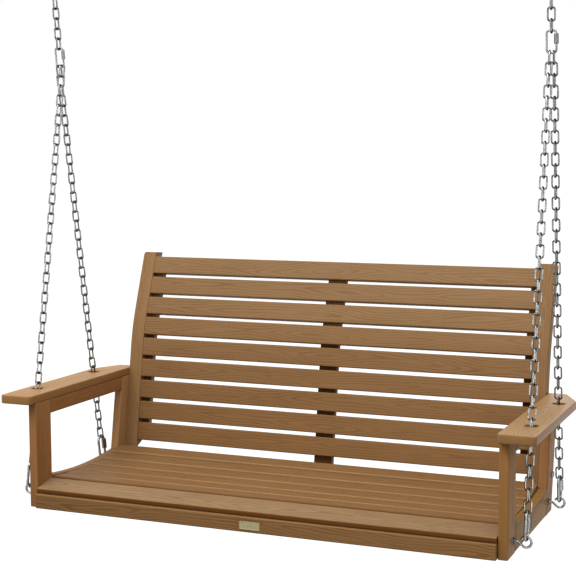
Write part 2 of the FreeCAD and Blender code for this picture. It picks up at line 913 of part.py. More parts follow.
def board_nodes():
    nodes = {"front_apron": front_apron(), "front_board": front_board()}
    for index in range(seat_slat_count):
        nodes["seat_slat_%d" % (index + 1)] = seat_slat(index)
    nodes["seat_support_left"] = side_support(-1)
    nodes["seat_support_centre"] = centre_support()
    nodes["seat_support_right"] = side_support(1)
    nodes["rear_seat_rail"] = rear_seat_rail()
    for index in range(back_slat_count):
        nodes["back_slat_%d" % (index + 1)] = back_slat(index)
    nodes["back_stile_centre"] = centre_stile()
    for side, name in side_names.items():
        nodes["back_stile_" + name] = back_stile(side)
        nodes["front_post_" + name] = drilled_post(front_post(side), side, eye_front_y,
                                                   eye_hole_radius, eye_height)
        post = drilled_post(rear_post(side), side, eye_rear_y, eye_hole_radius, eye_height)
        for height in bolt_heights:
            post = drilled_post(post, side, stile_bolt_y(height), bolt_shank_radius + hole_clearance,
                                height)
        nodes["rear_post_" + name] = post
        nodes["upper_rail_" + name] = upper_rail(side)
        nodes["lower_rail_" + name] = lower_rail(side)
        nodes["armrest_" + name] = armrest(side)
    return {name: [shape] for name, shape in nodes.items()}


def steel_nodes():
    nodes = {
        "eye_bolts": eye_bolts(),
        "eye_bolt_nuts": eye_bolt_nuts(),
        "eye_bolt_washers": eye_bolt_washers(),
        "stile_bolts": stile_bolts(),
    }
    for side, name in side_names.items():
        for foot_y, leg in ((eye_front_y, "front"), (eye_rear_y, "rear")):
            nodes[leg + "_chain_" + name] = leg_chain(foot_y, side)
            nodes[leg + "_quick_link_" + name] = lower_quick_link(foot_y, side)
            nodes[leg + "_sleeve_" + name] = lower_sleeve(foot_y, side)
    return nodes


def fixed_nodes():
    nodes = {}
    for side, name in side_names.items():
        nodes["ceiling_hook_" + name] = [ceiling_hook(side)]
        nodes["swivel_link_" + name] = swivel_link(side)
        nodes["upper_chain_" + name] = upper_chain(side)
        nodes["upper_quick_link_" + name] = upper_quick_link(side)
        nodes["upper_sleeve_" + name] = upper_sleeve(side)
    return nodes


def loose_solids(shapes):
    return [solid for shape in shapes for solid in shape.Solids]


def centre_of_mass(groups):
    total = 0.0
    moment = Vector(0, 0, 0)
    for nodes, density in groups:
        for shapes in nodes.values():
            for solid in loose_solids(shapes):
                mass = solid.Volume * density
                total += mass
                moment += solid.CenterOfMass * mass
    return moment * (1 / total), total


def hang(solids, lean):
    """Turns the level seat about the chains' top bar until it hangs at rest, and lifts it there."""
    carry = FreeCAD.Placement(Vector(0, 0, apex_below_ceiling), FreeCAD.Rotation(Vector(1, 0, 0), -lean))
    bring = FreeCAD.Placement(Vector(0, -apex_y, -apex_height), FreeCAD.Rotation())
    hung = []
    for solid in solids:
        moved = solid.copy()
        moved.Placement = carry.multiply(bring).multiply(moved.Placement)
        hung.append(moved)
    return hung


def main():
    os.makedirs("parts", exist_ok=True)
    boards = board_nodes()
    steel = steel_nodes()
    centre, mass = centre_of_mass([(boards, board_density), (steel, steel_density)])
    lean = math.degrees(math.atan2(centre.y - apex_y, apex_height - centre.z))
    print("seat and legs weigh %.2f kg, centre y %.2f z %.2f" % (mass, centre.y, centre.z))
    print("hang lean %.4f degrees, apex y %.3f z %.3f" % (lean, apex_y, apex_height))
    print("below the ceiling: hook %.3f, swivel %.3f, apex %.3f"
          % (hook_low, swivel_low, apex_below_ceiling))
    nodes = fixed_nodes()
    for group in (boards, steel):
        for name, solids in group.items():
            nodes[name] = hang(solids, lean)
    for name, shapes in nodes.items():
        solids = loose_solids(shapes)
        shape = solids[0] if len(solids) == 1 else Part.makeCompound(solids)
        shape.exportStep("parts/" + name + ".step")
    print(len(nodes), "nodes")


main()
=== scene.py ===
import bpy
import bmesh
import json
import math
from mathutils import Matrix, Vector
from mathutils.bvhtree import BVHTree


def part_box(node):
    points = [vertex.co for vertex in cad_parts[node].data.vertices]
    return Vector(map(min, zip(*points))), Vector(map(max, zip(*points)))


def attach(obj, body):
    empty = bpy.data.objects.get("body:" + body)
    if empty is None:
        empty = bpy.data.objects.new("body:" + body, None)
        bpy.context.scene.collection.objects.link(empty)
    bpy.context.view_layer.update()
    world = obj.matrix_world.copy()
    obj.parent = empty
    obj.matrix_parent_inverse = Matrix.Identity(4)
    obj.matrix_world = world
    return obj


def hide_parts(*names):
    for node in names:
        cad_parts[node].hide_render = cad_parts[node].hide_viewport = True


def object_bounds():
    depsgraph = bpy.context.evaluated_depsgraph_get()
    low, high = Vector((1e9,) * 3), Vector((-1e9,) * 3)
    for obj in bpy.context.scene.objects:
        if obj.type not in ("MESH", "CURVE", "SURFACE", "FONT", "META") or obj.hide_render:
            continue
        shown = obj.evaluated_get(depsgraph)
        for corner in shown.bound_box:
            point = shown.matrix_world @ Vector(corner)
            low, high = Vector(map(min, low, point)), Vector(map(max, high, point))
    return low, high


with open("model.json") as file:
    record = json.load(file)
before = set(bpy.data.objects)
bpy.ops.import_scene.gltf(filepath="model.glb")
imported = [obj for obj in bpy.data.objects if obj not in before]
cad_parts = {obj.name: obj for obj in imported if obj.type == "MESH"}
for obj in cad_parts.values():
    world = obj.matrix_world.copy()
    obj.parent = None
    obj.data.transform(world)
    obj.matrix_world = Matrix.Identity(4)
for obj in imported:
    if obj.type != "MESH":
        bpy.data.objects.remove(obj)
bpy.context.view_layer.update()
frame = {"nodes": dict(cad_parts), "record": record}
nodes = frame["nodes"]
print("frame loaded with", len(nodes), "nodes")

# Places on the level seat, in millimetres: x across from its middle, y back and z up from the front posts

mm = 0.001
sideNames = {-1: "left", 1: "right"}
seatSlatCount = 6
backSlatCount = 9
weldGap = 2e-6       # metres within which corners of a made piece are one
solidWeldGap = 1e-6  # the same in a solid that is only measured


def faceUp(name):
    work = bmesh.new()
    work.from_mesh(nodes[name].data)
    widest = max(work.faces, key=lambda face: face.calc_area())
    normal = widest.normal.copy()
    work.free()
    return normal if normal.z > 0 else -normal


seatUp = faceUp("armrest_left")
seatAcross = Vector((1, 0, 0))
seatBack = seatUp.cross(seatAcross).normalized()
postCorners = [vert.co for vert in nodes["front_post_left"].data.vertices]
seatOrigin = (seatBack * min(corner.dot(seatBack) for corner in postCorners)
              + seatUp * min(corner.dot(seatUp) for corner in postCorners))


def level(x, y, z):
    return seatOrigin + (seatAcross * x + seatBack * y + seatUp * z) * mm


def levelTurn(x, y, z):
    return seatAcross * x + seatBack * y + seatUp * z


def levelFrame(origin, right, back, up):
    frameMatrix = Matrix((right, back, up)).transposed().to_4x4()
    frameMatrix.translation = origin
    return frameMatrix


# Shader groups

def newGroup(name, inputs, outputs):
    tree = bpy.data.node_groups.new(name, "ShaderNodeTree")
    for label, kind, value in inputs:
        socket = tree.interface.new_socket(label, in_out="INPUT", socket_type=kind)
        if value is not None:
            socket.default_value = value
    for label, kind in outputs:
        tree.interface.new_socket(label, in_out="OUTPUT", socket_type=kind)
    return tree, tree.nodes.new("NodeGroupInput"), tree.nodes.new("NodeGroupOutput")


def addMath(tree, operation, first, second=None, third=None):
    node = tree.nodes.new("ShaderNodeMath")
    node.operation = operation
    for index, value in enumerate((first, second, third)):
        if value is None:
            continue
        if isinstance(value, (int, float)):
            node.inputs[index].default_value = value
        else:
            tree.links.new(value, node.inputs[index])
    return node.outputs[0]


def addVectorMath(tree, operation, vector, other):
    node = tree.nodes.new("ShaderNodeVectorMath")
    node.operation = operation
    tree.links.new(vector, node.inputs[0])
    node.inputs[1].default_value = other
    return node


def addNoise(tree, vector, detail, rough=0.55, scale=1.0):
    node = tree.nodes.new("ShaderNodeTexNoise")
    tree.links.new(vector, node.inputs["Vector"])
    node.inputs["Scale"].default_value = scale
    node.inputs["Detail"].default_value = detail
    node.inputs["Roughness"].default_value = rough
    return node.outputs["Fac"]


def addStretchedNoise(tree, place, stretch, detail, rough=0.55):
    return addNoise(tree, addVectorMath(tree, "MULTIPLY", place, stretch).outputs[0], detail, rough)


def addSmoothRange(tree, value, low, high, lowResult=0.0, highResult=1.0):
    node = tree.nodes.new("ShaderNodeMapRange")
    node.interpolation_type = "SMOOTHSTEP"
    tree.links.new(value, node.inputs["Value"])
    node.inputs["From Min"].default_value = low
    node.inputs["From Max"].default_value = high
    node.inputs["To Min"].default_value = lowResult
    node.inputs["To Max"].default_value = highResult
    return node.outputs["Result"]


def readAttribute(tree, name):
    node = tree.nodes.new("ShaderNodeAttribute")
    node.attribute_name = name
    return node


def addMix(tree, factor, first, second, blend="MIX"):
    node = tree.nodes.new("ShaderNodeMix")
    node.data_type = "RGBA"
    node.blend_type = blend
    for socket, value in ((node.inputs[0], factor), (node.inputs[6], first), (node.inputs[7], second)):
        if isinstance(value, (int, float, tuple)):
            socket.default_value = value
        else:
            tree.links.new(value, socket)
    return node.outputs[2]


grain = {
    "lineSpacing": 0.0066,              # metres between the lines of the embossed flame pattern
    "lineSharpness": 2.2,
    "heartWidth": 0.004,
    "depthWander": 0.050,
    "sideWander": 0.030,
    "wanderStretch": (2.1, 0.8, 0.8),
    "sidePlace": (17.3, 4.1, 9.7),      # where in the noise the sideways wander is read
    "fineWave": 0.0100,
    "rippleStretch": (9.0, 48.0, 48.0),
    "patchStretch": (9.0, 30.0, 30.0),
    "patchSpan": 1.8,                   # the lines fade between patches
    "patchLow": -0.1,
    "fibreStretch": (16.0, 620.0, 620.0),
    "cloudStretch": (3.0, 26.0, 26.0),
}


def makeGrainGroup():
    # Nested flames along a board's heart, which wanders, with short fibres between their lines
    tree, given, result = newGroup(
        "embossedGrain", [("Place", "NodeSocketVector", None)],
        [("Lines", "NodeSocketFloat"), ("Fibres", "NodeSocketFloat"), ("Cloud", "NodeSocketFloat")])
    place = given.outputs["Place"]
    split = tree.nodes.new("ShaderNodeSeparateXYZ")
    tree.links.new(place, split.inputs[0])
    slow = addVectorMath(tree, "MULTIPLY", place, grain["wanderStretch"]).outputs[0]
    elsewhere = addVectorMath(tree, "ADD", slow, grain["sidePlace"]).outputs[0]
    wander = addMath(tree, "SUBTRACT", addNoise(tree, slow, 1.5, 0.5), 0.5)
    sway = addMath(tree, "SUBTRACT", addNoise(tree, elsewhere, 1.0, 0.5), 0.5)
    ripple = addStretchedNoise(tree, place, grain["rippleStretch"], 3.0, 0.6)
    across = addMath(tree, "MULTIPLY_ADD", sway, 2 * grain["sideWander"], split.outputs[1])
    width = addMath(tree, "SQRT", addMath(tree, "MULTIPLY_ADD", across, across, grain["heartWidth"] ** 2))
    depth = addMath(tree, "MULTIPLY_ADD", wander, 2 * grain["depthWander"], split.outputs[2])
    reach = addMath(tree, "MULTIPLY_ADD", ripple, grain["fineWave"], addMath(tree, "ADD", depth, width))
    wave = addMath(tree, "SINE", addMath(tree, "MULTIPLY", reach, 2 * math.pi / grain["lineSpacing"]))
    lines = addMath(tree, "POWER", addMath(tree, "MULTIPLY_ADD", wave, 0.5, 0.5), grain["lineSharpness"])
    patches = addStretchedNoise(tree, place, grain["patchStretch"], 1.0)
    patchShare = addMath(tree, "MULTIPLY_ADD", patches, grain["patchSpan"], grain["patchLow"])
    fibres = addStretchedNoise(tree, place, grain["fibreStretch"], 3.0, 0.6)
    cloud = addStretchedNoise(tree, place, grain["cloudStretch"], 3.0, 0.6)
    tree.links.new(addMath(tree, "MULTIPLY", lines, patchShare), result.inputs["Lines"])
    tree.links.new(fibres, result.inputs["Fibres"])
    tree.links.new(cloud, result.inputs["Cloud"])
    return tree


zincWear = {
    "bloomStretch": (330.0, 330.0, 60.0),
    "bloomFrom": 0.36,
    "bloomTo": 0.60,
    "hairlineStretch": (2600.0, 2600.0, 300.0),
    "pitScale": 1900.0,
}


def makeWearGroup():
    # Hairlines, a mottled zinc bloom and fine pits
    tree, given, result = newGroup(
        "zincWear", [("Place", "NodeSocketVector", None)],
        [("Bloom", "NodeSocketFloat"), ("Hairlines", "NodeSocketFloat"), ("Pits", "NodeSocketFloat")])
    place = given.outputs["Place"]
    mottle = addStretchedNoise(tree, place, zincWear["bloomStretch"], 2.0)
    bloom = addSmoothRange(tree, mottle, zincWear["bloomFrom"], zincWear["bloomTo"])
    tree.links.new(bloom, result.inputs["Bloom"])
    tree.links.new(addStretchedNoise(tree, place, zincWear["hairlineStretch"], 2.0),
                   result.inputs["Hairlines"])
    tree.links.new(addNoise(tree, place, 2.0, scale=zincWear["pitScale"]), result.inputs["Pits"])
    return tree


grainGroup = makeGrainGroup()
wearGroup = makeWearGroup()


def newMaterial(name):
    material = bpy.data.materials.new(name)
    material.use_nodes = True
    tree = material.node_tree
    shader = tree.nodes["Principled BSDF"]
    return material, tree, shader


def useGroup(tree, group, place):
    node = tree.nodes.new("ShaderNodeGroup")
    node.node_tree = group
    tree.links.new(place, node.inputs["Place"])
    return node


def addBump(tree, shader, height, distance):
    bump = tree.nodes.new("ShaderNodeBump")
    bump.inputs["Strength"].default_value = 1.0
    bump.inputs["Distance"].default_value = distance
    tree.links.new(height, bump.inputs["Height"])
    tree.links.new(bump.outputs["Normal"], shader.inputs["Normal"])


def linear(red, green, blue):
    # A colour as read off a screen, 0 to 255, to the scene's linear values
    channels = []
    for value in (red, green, blue):
        share = value / 255
        channels.append(share / 12.92 if share <= 0.04045 else ((share + 0.055) / 1.055) ** 2.4)
    return (*channels, 1.0)


boardFinish = {
    "cloudSpan": 0.24,     # brightness from the darkest cloud to the palest, and at the darkest
    "cloudLow": 0.88,
    "fibreSpan": 0.14,     # the same for the fibres
    "fibreLow": 0.93,
    "lineDullness": 0.12,  # added to the roughness in the embossed lines
    "lineHeight": -0.7,
    "fibreHeight": 0.3,
    "relief": 0.0004,
}


def makeBoardMaterial(name, face, line, roughness, embossing, gloss):
    material, tree, shader = newMaterial(name)
    pattern = useGroup(tree, grainGroup, readAttribute(tree, "boardPlace").outputs["Vector"])
    cloud, fibres = pattern.outputs["Cloud"], pattern.outputs["Fibres"]
    broad = readAttribute(tree, "broadFace").outputs["Fac"]
    boardPaintedLight = readAttribute(tree, "boardPaintedLight").outputs["Color"]
    edgePaintedLight = readAttribute(tree, "edgePaintedLight").outputs["Color"]
    lines = addMath(tree, "MULTIPLY", pattern.outputs["Lines"], broad)
    tone = addMath(tree, "MULTIPLY", lines, embossing)
    # The base colour takes the board's painted light and shade
    base = addMix(tree, 1.0, addMix(tree, tone, linear(*face), linear(*line)), boardPaintedLight, "MULTIPLY")
    clouded = addMath(tree, "MULTIPLY_ADD", cloud, boardFinish["cloudSpan"], boardFinish["cloudLow"])
    streaked = addMath(tree, "MULTIPLY_ADD", fibres, boardFinish["fibreSpan"], boardFinish["fibreLow"])
    shade = addMath(tree, "MULTIPLY", clouded, streaked)
    grey = tree.nodes.new("ShaderNodeCombineColor")
    for channel in grey.inputs:
        tree.links.new(shade, channel)
    shaded = addMix(tree, 1.0, base, grey.outputs[0], "MULTIPLY")
    # and the painted shade or highlight on the board's edges
    tree.links.new(addMix(tree, 1.0, shaded, edgePaintedLight, "MULTIPLY"), shader.inputs["Base Color"])
    dull = addMath(tree, "MULTIPLY_ADD", lines, boardFinish["lineDullness"], roughness)
    tree.links.new(dull, shader.inputs["Roughness"])
    height = addMath(tree, "MULTIPLY_ADD", lines, boardFinish["lineHeight"],
                     addMath(tree, "MULTIPLY", fibres, boardFinish["fibreHeight"]))
    addBump(tree, shader, height, boardFinish["relief"])
    shader.inputs["Specular IOR Level"].default_value = gloss
    return material


zincFinish = {
    "dullTone": 0.74,    # share of the bright tone that is left between the bloom
    # share of the bright tone left in the painted shade where links touch
    "contactShadeTone": 0.45,
    "bloomGloss": -0.10,
    "roughAdded": 0.05,
    "pitHeight": 0.5,
    "hairlineHeight": 0.5,
    "relief": 0.000006,
}


def makeZincMaterial(name, tone, roughness):
    material, tree, shader = newMaterial(name)
    coordinates = tree.nodes.new("ShaderNodeTexCoord")
    wear = useGroup(tree, wearGroup, coordinates.outputs["Object"])
    dull = linear(*[value * zincFinish["dullTone"] for value in tone])
    contactShaded = linear(*[value * zincFinish["contactShadeTone"] for value in tone])
    bloomed = addMix(tree, wear.outputs["Bloom"], dull, linear(*tone))
    # Painted shade where the links touch
    colour = addMix(tree, readAttribute(tree, "paintedContactShade").outputs["Fac"], bloomed, contactShaded)
    tree.links.new(colour, shader.inputs["Base Color"])
    rough = addMath(tree, "MULTIPLY_ADD", wear.outputs["Bloom"], zincFinish["bloomGloss"],
                    roughness + zincFinish["roughAdded"])
    tree.links.new(rough, shader.inputs["Roughness"])
    shader.inputs["Metallic"].default_value = 1.0
    shader.inputs["Specular Tint"].default_value = (0, 0, 0, 1)
    height = addMath(tree, "MULTIPLY_ADD", wear.outputs["Pits"], zincFinish["pitHeight"],
                     addMath(tree, "MULTIPLY", wear.outputs["Hairlines"], zincFinish["hairlineHeight"]))
    addBump(tree, shader, height, zincFinish["relief"])
    return material


brassFinish = {
    "dull": (146, 138, 104),
    "bright": (158, 150, 116),
    "roughSpan": 0.2,
    "roughLow": 0.3,
    "metallic": 0.85,
    "relief": 0.00001,
}


def makeBrassMaterial():
    material, tree, shader = newMaterial("paleBrass")
    coordinates = tree.nodes.new("ShaderNodeTexCoord")
    wear = useGroup(tree, wearGroup, coordinates.outputs["Object"])
    bloom = wear.outputs["Bloom"]
    colour = addMix(tree, bloom, linear(*brassFinish["dull"]), linear(*brassFinish["bright"]))
    tree.links.new(colour, shader.inputs["Base Color"])
    tree.links.new(addMath(tree, "MULTIPLY_ADD", bloom, brassFinish["roughSpan"], brassFinish["roughLow"]),
                   shader.inputs["Roughness"])
    shader.inputs["Metallic"].default_value = brassFinish["metallic"]
    addBump(tree, shader, wear.outputs["Hairlines"], brassFinish["relief"])
    return material


# The four board colours are one lumber, set apart partly by painted light and shade fitted to where each
# group stands
materials = {
    "seat_board": makeBoardMaterial("seatBoard", (126, 93, 59), (88, 58, 28), 0.46, 0.34, 0.05),
    "back_board": makeBoardMaterial("backBoard", (140, 105, 68), (105, 73, 39), 0.46, 0.38, 0.06),
    "frame_board": makeBoardMaterial("frameBoard", (145, 101, 61), (108, 70, 36), 0.44, 0.30, 0.05),
    "arm_board": makeBoardMaterial("armBoard", (146, 109, 66), (108, 76, 38), 0.42, 0.25, 0.12),
    "chain_steel": makeZincMaterial("chainZinc", (154, 156, 154), 0.16),
    # The front chains' zinc is the rear chains' zinc painted lighter, as painted light
    "paintedLitChain": makeZincMaterial("chainZincPaintedLit", (186, 188, 186), 0.14),
    "link_steel": makeZincMaterial("linkZinc", (166, 168, 166), 0.14),
    "bolt_steel": makeZincMaterial("boltZinc", (164, 165, 163), 0.18),
    "hook_steel": makeZincMaterial("hookZinc", (170, 171, 170), 0.20),
    "brass": makeBrassMaterial(),
}
print("materials made:", len(materials))

# Measuring a set of points

def middleAlong(points, direction):
    reaches = [point.dot(direction) for point in points]
    return (min(reaches) + max(reaches)) / 2


def spanAlong(points, direction):
    reaches = [point.dot(direction) for point in points]
    return max(reaches) - min(reaches)


def meanOf(points):
    return sum(points, Vector((0, 0, 0))) / len(points)


def centreOf(points, axes):
    centre = Vector((0, 0, 0))
    for axis in axes:
        centre += axis * middleAlong(points, axis)
    return centre


# Finishing a piece

slotOfNode = {part["node"]: part["material_slot"] for part in frame["record"]["subparts"]}
bodyOfNode = {}
for bodyName, members in frame["record"]["behaviour"]["bodies"].items():
    for member in members:
        bodyOfNode[member] = bodyName


def placeObject(name, data):
    thing = bpy.data.objects.new(name, data)
    bpy.context.scene.collection.objects.link(thing)
    return thing


def finishPiece(name, work, body, slot=None, finish=None):
    bmesh.ops.remove_doubles(work, verts=work.verts, dist=weldGap)
    mesh = bpy.data.meshes.new(name)
    work.to_mesh(mesh)
    work.free()
    piece = placeObject(name, mesh)
    mesh.materials.append(materials[finish or slot])
    for polygon in mesh.polygons:
        polygon.use_smooth = True
    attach(piece, body)
    return piece


def replaceNode(name, work):
    piece = finishPiece("made_" + name, work, bodyOfNode[name], slotOfNode[name])
    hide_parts(name)
    return piece


roundedFrom = math.radians(25)


def roundEdges(piece, width, steps):
    rounding = piece.modifiers.new("roundEdges", "BEVEL")
    rounding.width = width
    rounding.segments = steps
    rounding.limit_method = "ANGLE"
    rounding.angle_limit = roundedFrom
    rounding.harden_normals = True


def bevelEdges(work, edges, width, steps):
    bmesh.ops.bevel(work, geom=edges, offset=width, offset_type="OFFSET", segments=steps, profile=0.5,
                    affect="EDGES", material=-1)


# Boards

board = {
    "weldGap": 1e-5,
    "flatWithin": math.radians(0.5),  # facets that meet flatter than this are joined
    "roundWidth": 0.0014,   # turns the eased edges of the solid into quarter rounds
    "roundSteps": 3,
    "shiftPerBoard": 3.7,   # metres along the pattern from one board to the next
    "heartShift": 0.006,
    "heartPlaces": 5,
    "narrowFace": 0.35,     # how much of the embossing the boards' edges carry
    "broadFrom": 0.8,       # how squarely a broad face looks through its board
    "slatBroadFrom": 0.97,  # the same on the seat slats, whose rounds count as edges
    "edgePaintedLight": (0.88, 0.88, 0.88),    # painted shade: the edges are a little deeper than the broad faces
    "rabbetPaintedShade": (0.40, 0.30, 0.20),  # painted shade on the floor behind the slats' ends
    "rabbetFacing": -0.9,   # y of a normal that looks to the front
    "rabbetDepth": 3.0,     # millimetres behind the back's front face
    "flatFrom": 0.0004,     # square metres from which a seat slat's face is shaded flat
}

# Painted light on the boards' edges: red, green and blue by which a board's edges are painted lighter, as a
# highlight, or deeper, as shade, than its broad faces

edgePaintedLights = {
    "front_board": (0.54, 0.34, 0.16),
    "front_apron": (1, 1, 1),
    "armrest_left": (0.8, 0.74, 0.7),
    "armrest_right": (0.9, 0.82, 0.8),
    "seat_slat_1": (0.8, 0.7, 0.6),
    "back_stile_centre": (0.5, 0.42, 0.34),
}
for index in range(2, seatSlatCount + 1):
    edgePaintedLights["seat_slat_%d" % index] = (1.34, 1.42, 1.55)
for name in ("front_post_left", "front_post_right", "rear_post_left", "rear_post_right"):
    edgePaintedLights[name] = (1, 1, 1)

# Painted light and shade on whole boards, with the back's slats painted paler at the top and deeper at the
# bottom, and how much more of the embossing two of them carry

boardPaintedLights = {
    "front_board": (1.22, 1.44, 1.84),
    "front_apron": (1.06, 1.04, 1.00),
    "front_post_right": (0.99, 1.05, 0.92),
    "rear_post_left": (1.25, 1.4, 1.6),
    "rear_post_right": (1.06, 1.1, 1.15),
    "lower_rail_right": (0.90, 1.01, 0.82),
    "armrest_left": (1.14, 1.14, 1.12),
    "armrest_right": (0.94, 1.0, 1.08),
    "back_stile_left": (0.95, 0.96, 1.0),
    "back_stile_right": (0.95, 0.96, 1.0),
}
topSlatPaintedSheen = (0.95, 1.00, 1.12)
lowestSlatPaintedShade = (0.85, 0.80, 0.74)
deeperGrain = {"front_board": 1.7, "front_apron": 1.3}

back = {"footFront": 437.3, "bendHeight": 399.1, "lowerRake": math.radians(9.0),
        "upperRake": math.radians(20.7)}
rearPostRake = math.radians(9.93)


def backFace(height):
    low = min(height, back["bendHeight"])
    high = max(height - back["bendHeight"], 0)
    return back["footFront"] + low * math.tan(back["lowerRake"]) + high * math.tan(back["upperRake"])


# Each board's grain runs along it: returned are the ways along, across the broad face and through it

def alongSeat(place):
    return place.x, place.dot(seatBack), place.dot(seatUp)


def alongApron(place):
    return place.x, place.dot(seatUp), place.dot(seatBack)


def behindBackFace(place):
    own = place - seatOrigin
    return own.dot(seatBack) - backFace(own.dot(seatUp) / mm) * mm


def alongBackSlat(place):
    return place.x, place.dot(seatUp), behindBackFace(place)


def alongStile(place):
    return place.dot(seatUp), place.x, behindBackFace(place)


def alongArm(place):
    return place.dot(seatBack), place.x, place.dot(seatUp)


def alongRail(place):
    return place.dot(seatBack), place.dot(seatUp), place.x


def alongPost(place):
    return place.dot(seatUp), place.dot(seatBack), place.x


def alongRearPost(place):
    up = place.dot(seatUp)
    backward = place.dot(seatBack)
    return (up * math.cos(rearPostRake) + backward * math.sin(rearPostRake),
            backward * math.cos(rearPostRake) - up * math.sin(rearPostRake), place.x)


def paintedLightOf(name):
    # Painted light and shade: some boards are painted paler or deeper than others, and the back is painted
    # paler at its top slat and deeper towards its lowest
    if name.startswith("back_slat_"):
        share = (int(name[-1]) - 1) / (backSlatCount - 1)
        return Vector(topSlatPaintedSheen) * (1 - share) + Vector(lowestSlatPaintedShade) * share
    return Vector(boardPaintedLights.get(name, (1, 1, 1)))


def keepGrain(work, name, index, grainPlace):
    # The grain's place at each corner, the board's painted light and shade, how much of the embossing each
    # face carries, and the painted shade or highlight on its edges
    shade = paintedLightOf(name)
    paintedLightLayer = work.verts.layers.float_vector.new("boardPaintedLight")
    for vert in work.verts:
        vert[paintedLightLayer] = shade
    layer = work.verts.layers.float_vector.new("boardPlace")
    broad = work.faces.layers.float.new("broadFace")
    edgeLightLayer = work.faces.layers.float_vector.new("edgePaintedLight")
    middle = Vector((0, 0, 0))
    for vert in work.verts:
        middle += vert.co / len(work.verts)
    offset = Vector(grainPlace(middle))
    heartPlace = index % board["heartPlaces"] - board["heartPlaces"] // 2
    shift = Vector((board["shiftPerBoard"] * index + offset.x, 0, board["heartShift"] * heartPlace))
    broadFrom = board["slatBroadFrom"] if name.startswith("seat_slat_") else board["broadFrom"]
    for vert in work.verts:
        vert[layer] = Vector(grainPlace(vert.co)) - offset + shift
    for face in work.faces:
        centre = face.calc_center_median()
        step = Vector(grainPlace(centre + face.normal * mm)) - Vector(grainPlace(centre))
        isBroad = abs(step.z) > broadFrom * mm
        face[broad] = deeperGrain.get(name, 1.0) if isBroad else board["narrowFace"]
        face[edgeLightLayer] = (1, 1, 1) if isBroad else edgePaintedLights.get(name, board["edgePaintedLight"])
        # Painted shade on a stile's floor behind the slats' ends
        facesFront = "stile" in name and face.normal.y < board["rabbetFacing"]
        if facesFront and behindBackFace(centre) > board["rabbetDepth"] * mm:
            face[edgeLightLayer] = board["rabbetPaintedShade"]


def dressBoard(name, index, grainPlace):
    # The solid's own shape with its facets joined
    work = bmesh.new()
    work.from_mesh(nodes[name].data)
    bmesh.ops.remove_doubles(work, verts=work.verts, dist=board["weldGap"])
    bmesh.ops.dissolve_limit(work, angle_limit=board["flatWithin"], verts=work.verts, edges=work.edges)
    work.normal_update()
    keepGrain(work, name, index, grainPlace)
    roundEdges(replaceNode(name, work), board["roundWidth"], board["roundSteps"])


seatSlat = {
    "round": 0.0035,
    "roundSteps": 4,
    "eased": 0.0020,
    "easedSteps": 3,
    "sharpFrom": math.radians(45),
    "longFrom": 0.1,     # metres along X from which an edge is one of the long ones
    "patternFrom": 30,   # keeps the slats' grain apart from the other boards'
}


def flattenBroad(piece):
    for polygon in piece.data.polygons:
        polygon.use_smooth = polygon.area < board["flatFrom"]


def dressSeatSlat(name, index):
    # A new slat in the solid's place, with well rounded top edges
    up = faceUp(name)
    backward = up.cross(seatAcross).normalized()
    points = [vert.co for vert in nodes[name].data.vertices]
    axes = (seatAcross, backward, up)
    size = [spanAlong(points, axis) for axis in axes]
    work = bmesh.new()
    bmesh.ops.create_cube(work, size=1.0)
    bmesh.ops.scale(work, vec=size, verts=work.verts)
    longTop = []
    for edge in work.edges:
        first, second = [vert.co for vert in edge.verts]
        if abs(first.x - second.x) > seatSlat["longFrom"] and min(first.z, second.z) > 0:
            longTop.append(edge)
    bevelEdges(work, longTop, seatSlat["round"], seatSlat["roundSteps"])
    work.normal_update()
    sharp = [edge for edge in work.edges if edge.calc_face_angle(0) > seatSlat["sharpFrom"]]
    bevelEdges(work, sharp, seatSlat["eased"], seatSlat["easedSteps"])
    bmesh.ops.transform(work, matrix=levelFrame(centreOf(points, axes), *axes), verts=work.verts)
    work.normal_update()
    keepGrain(work, name, index, alongSeat)
    flattenBroad(replaceNode(name, work))


boardPlans = {"front_apron": alongApron, "front_board": alongSeat, "rear_seat_rail": alongBackSlat}
for index in range(1, seatSlatCount + 1):
    dressSeatSlat("seat_slat_%d" % index, index + seatSlat["patternFrom"])
for index in range(1, backSlatCount + 1):
    boardPlans["back_slat_%d" % index] = alongBackSlat
for name in ("left", "centre", "right"):
    boardPlans["seat_support_" + name] = alongRail
    boardPlans["back_stile_" + name] = alongStile
for name in sideNames.values():
    boardPlans["armrest_" + name] = alongArm
    boardPlans["upper_rail_" + name] = alongRail
    boardPlans["lower_rail_" + name] = alongRail
    boardPlans["front_post_" + name] = alongPost
    boardPlans["rear_post_" + name] = alongRearPost
for index, (name, plan) in enumerate(boardPlans.items()):
    dressBoard(name, index, plan)
print("boards dressed:", len(boardPlans))

# Bent wire

def startWire(work, radius, centre, heading, sides):
    made = bmesh.ops.create_circle(work, cap_ends=False, radius=radius, segments=sides)
    turn = heading.normalized().to_track_quat("Z", "Y").to_matrix().to_4x4()
    turn.translation = centre
    bmesh.ops.transform(work, matrix=turn, verts=made["verts"])
    return sorted({edge for vert in made["verts"] for edge in vert.link_edges}, key=lambda edge: edge.index)


def capWire(work, ring):
    bmesh.ops.contextual_create(work, geom=ring)


def runOn(work, ring, shift):
    made = bmesh.ops.extrude_edge_only(work, edges=ring)["geom"]
    fresh = [item for item in made if isinstance(item, bmesh.types.BMVert)]
    bmesh.ops.translate(work, vec=shift, verts=fresh)
    known = set(fresh)
    return [item for item in made if isinstance(item, bmesh.types.BMEdge) and set(item.verts) <= known]


def bendOn(work, ring, centre, axis, angle, steps):
    corners = list({vert for edge in ring for vert in edge.verts})
    made = bmesh.ops.spin(work, geom=corners + list(ring), cent=centre, axis=axis, angle=angle, steps=steps,
                          use_merge=False)["geom_last"]
    return [item for item in made if isinstance(item, bmesh.types.BMEdge)]


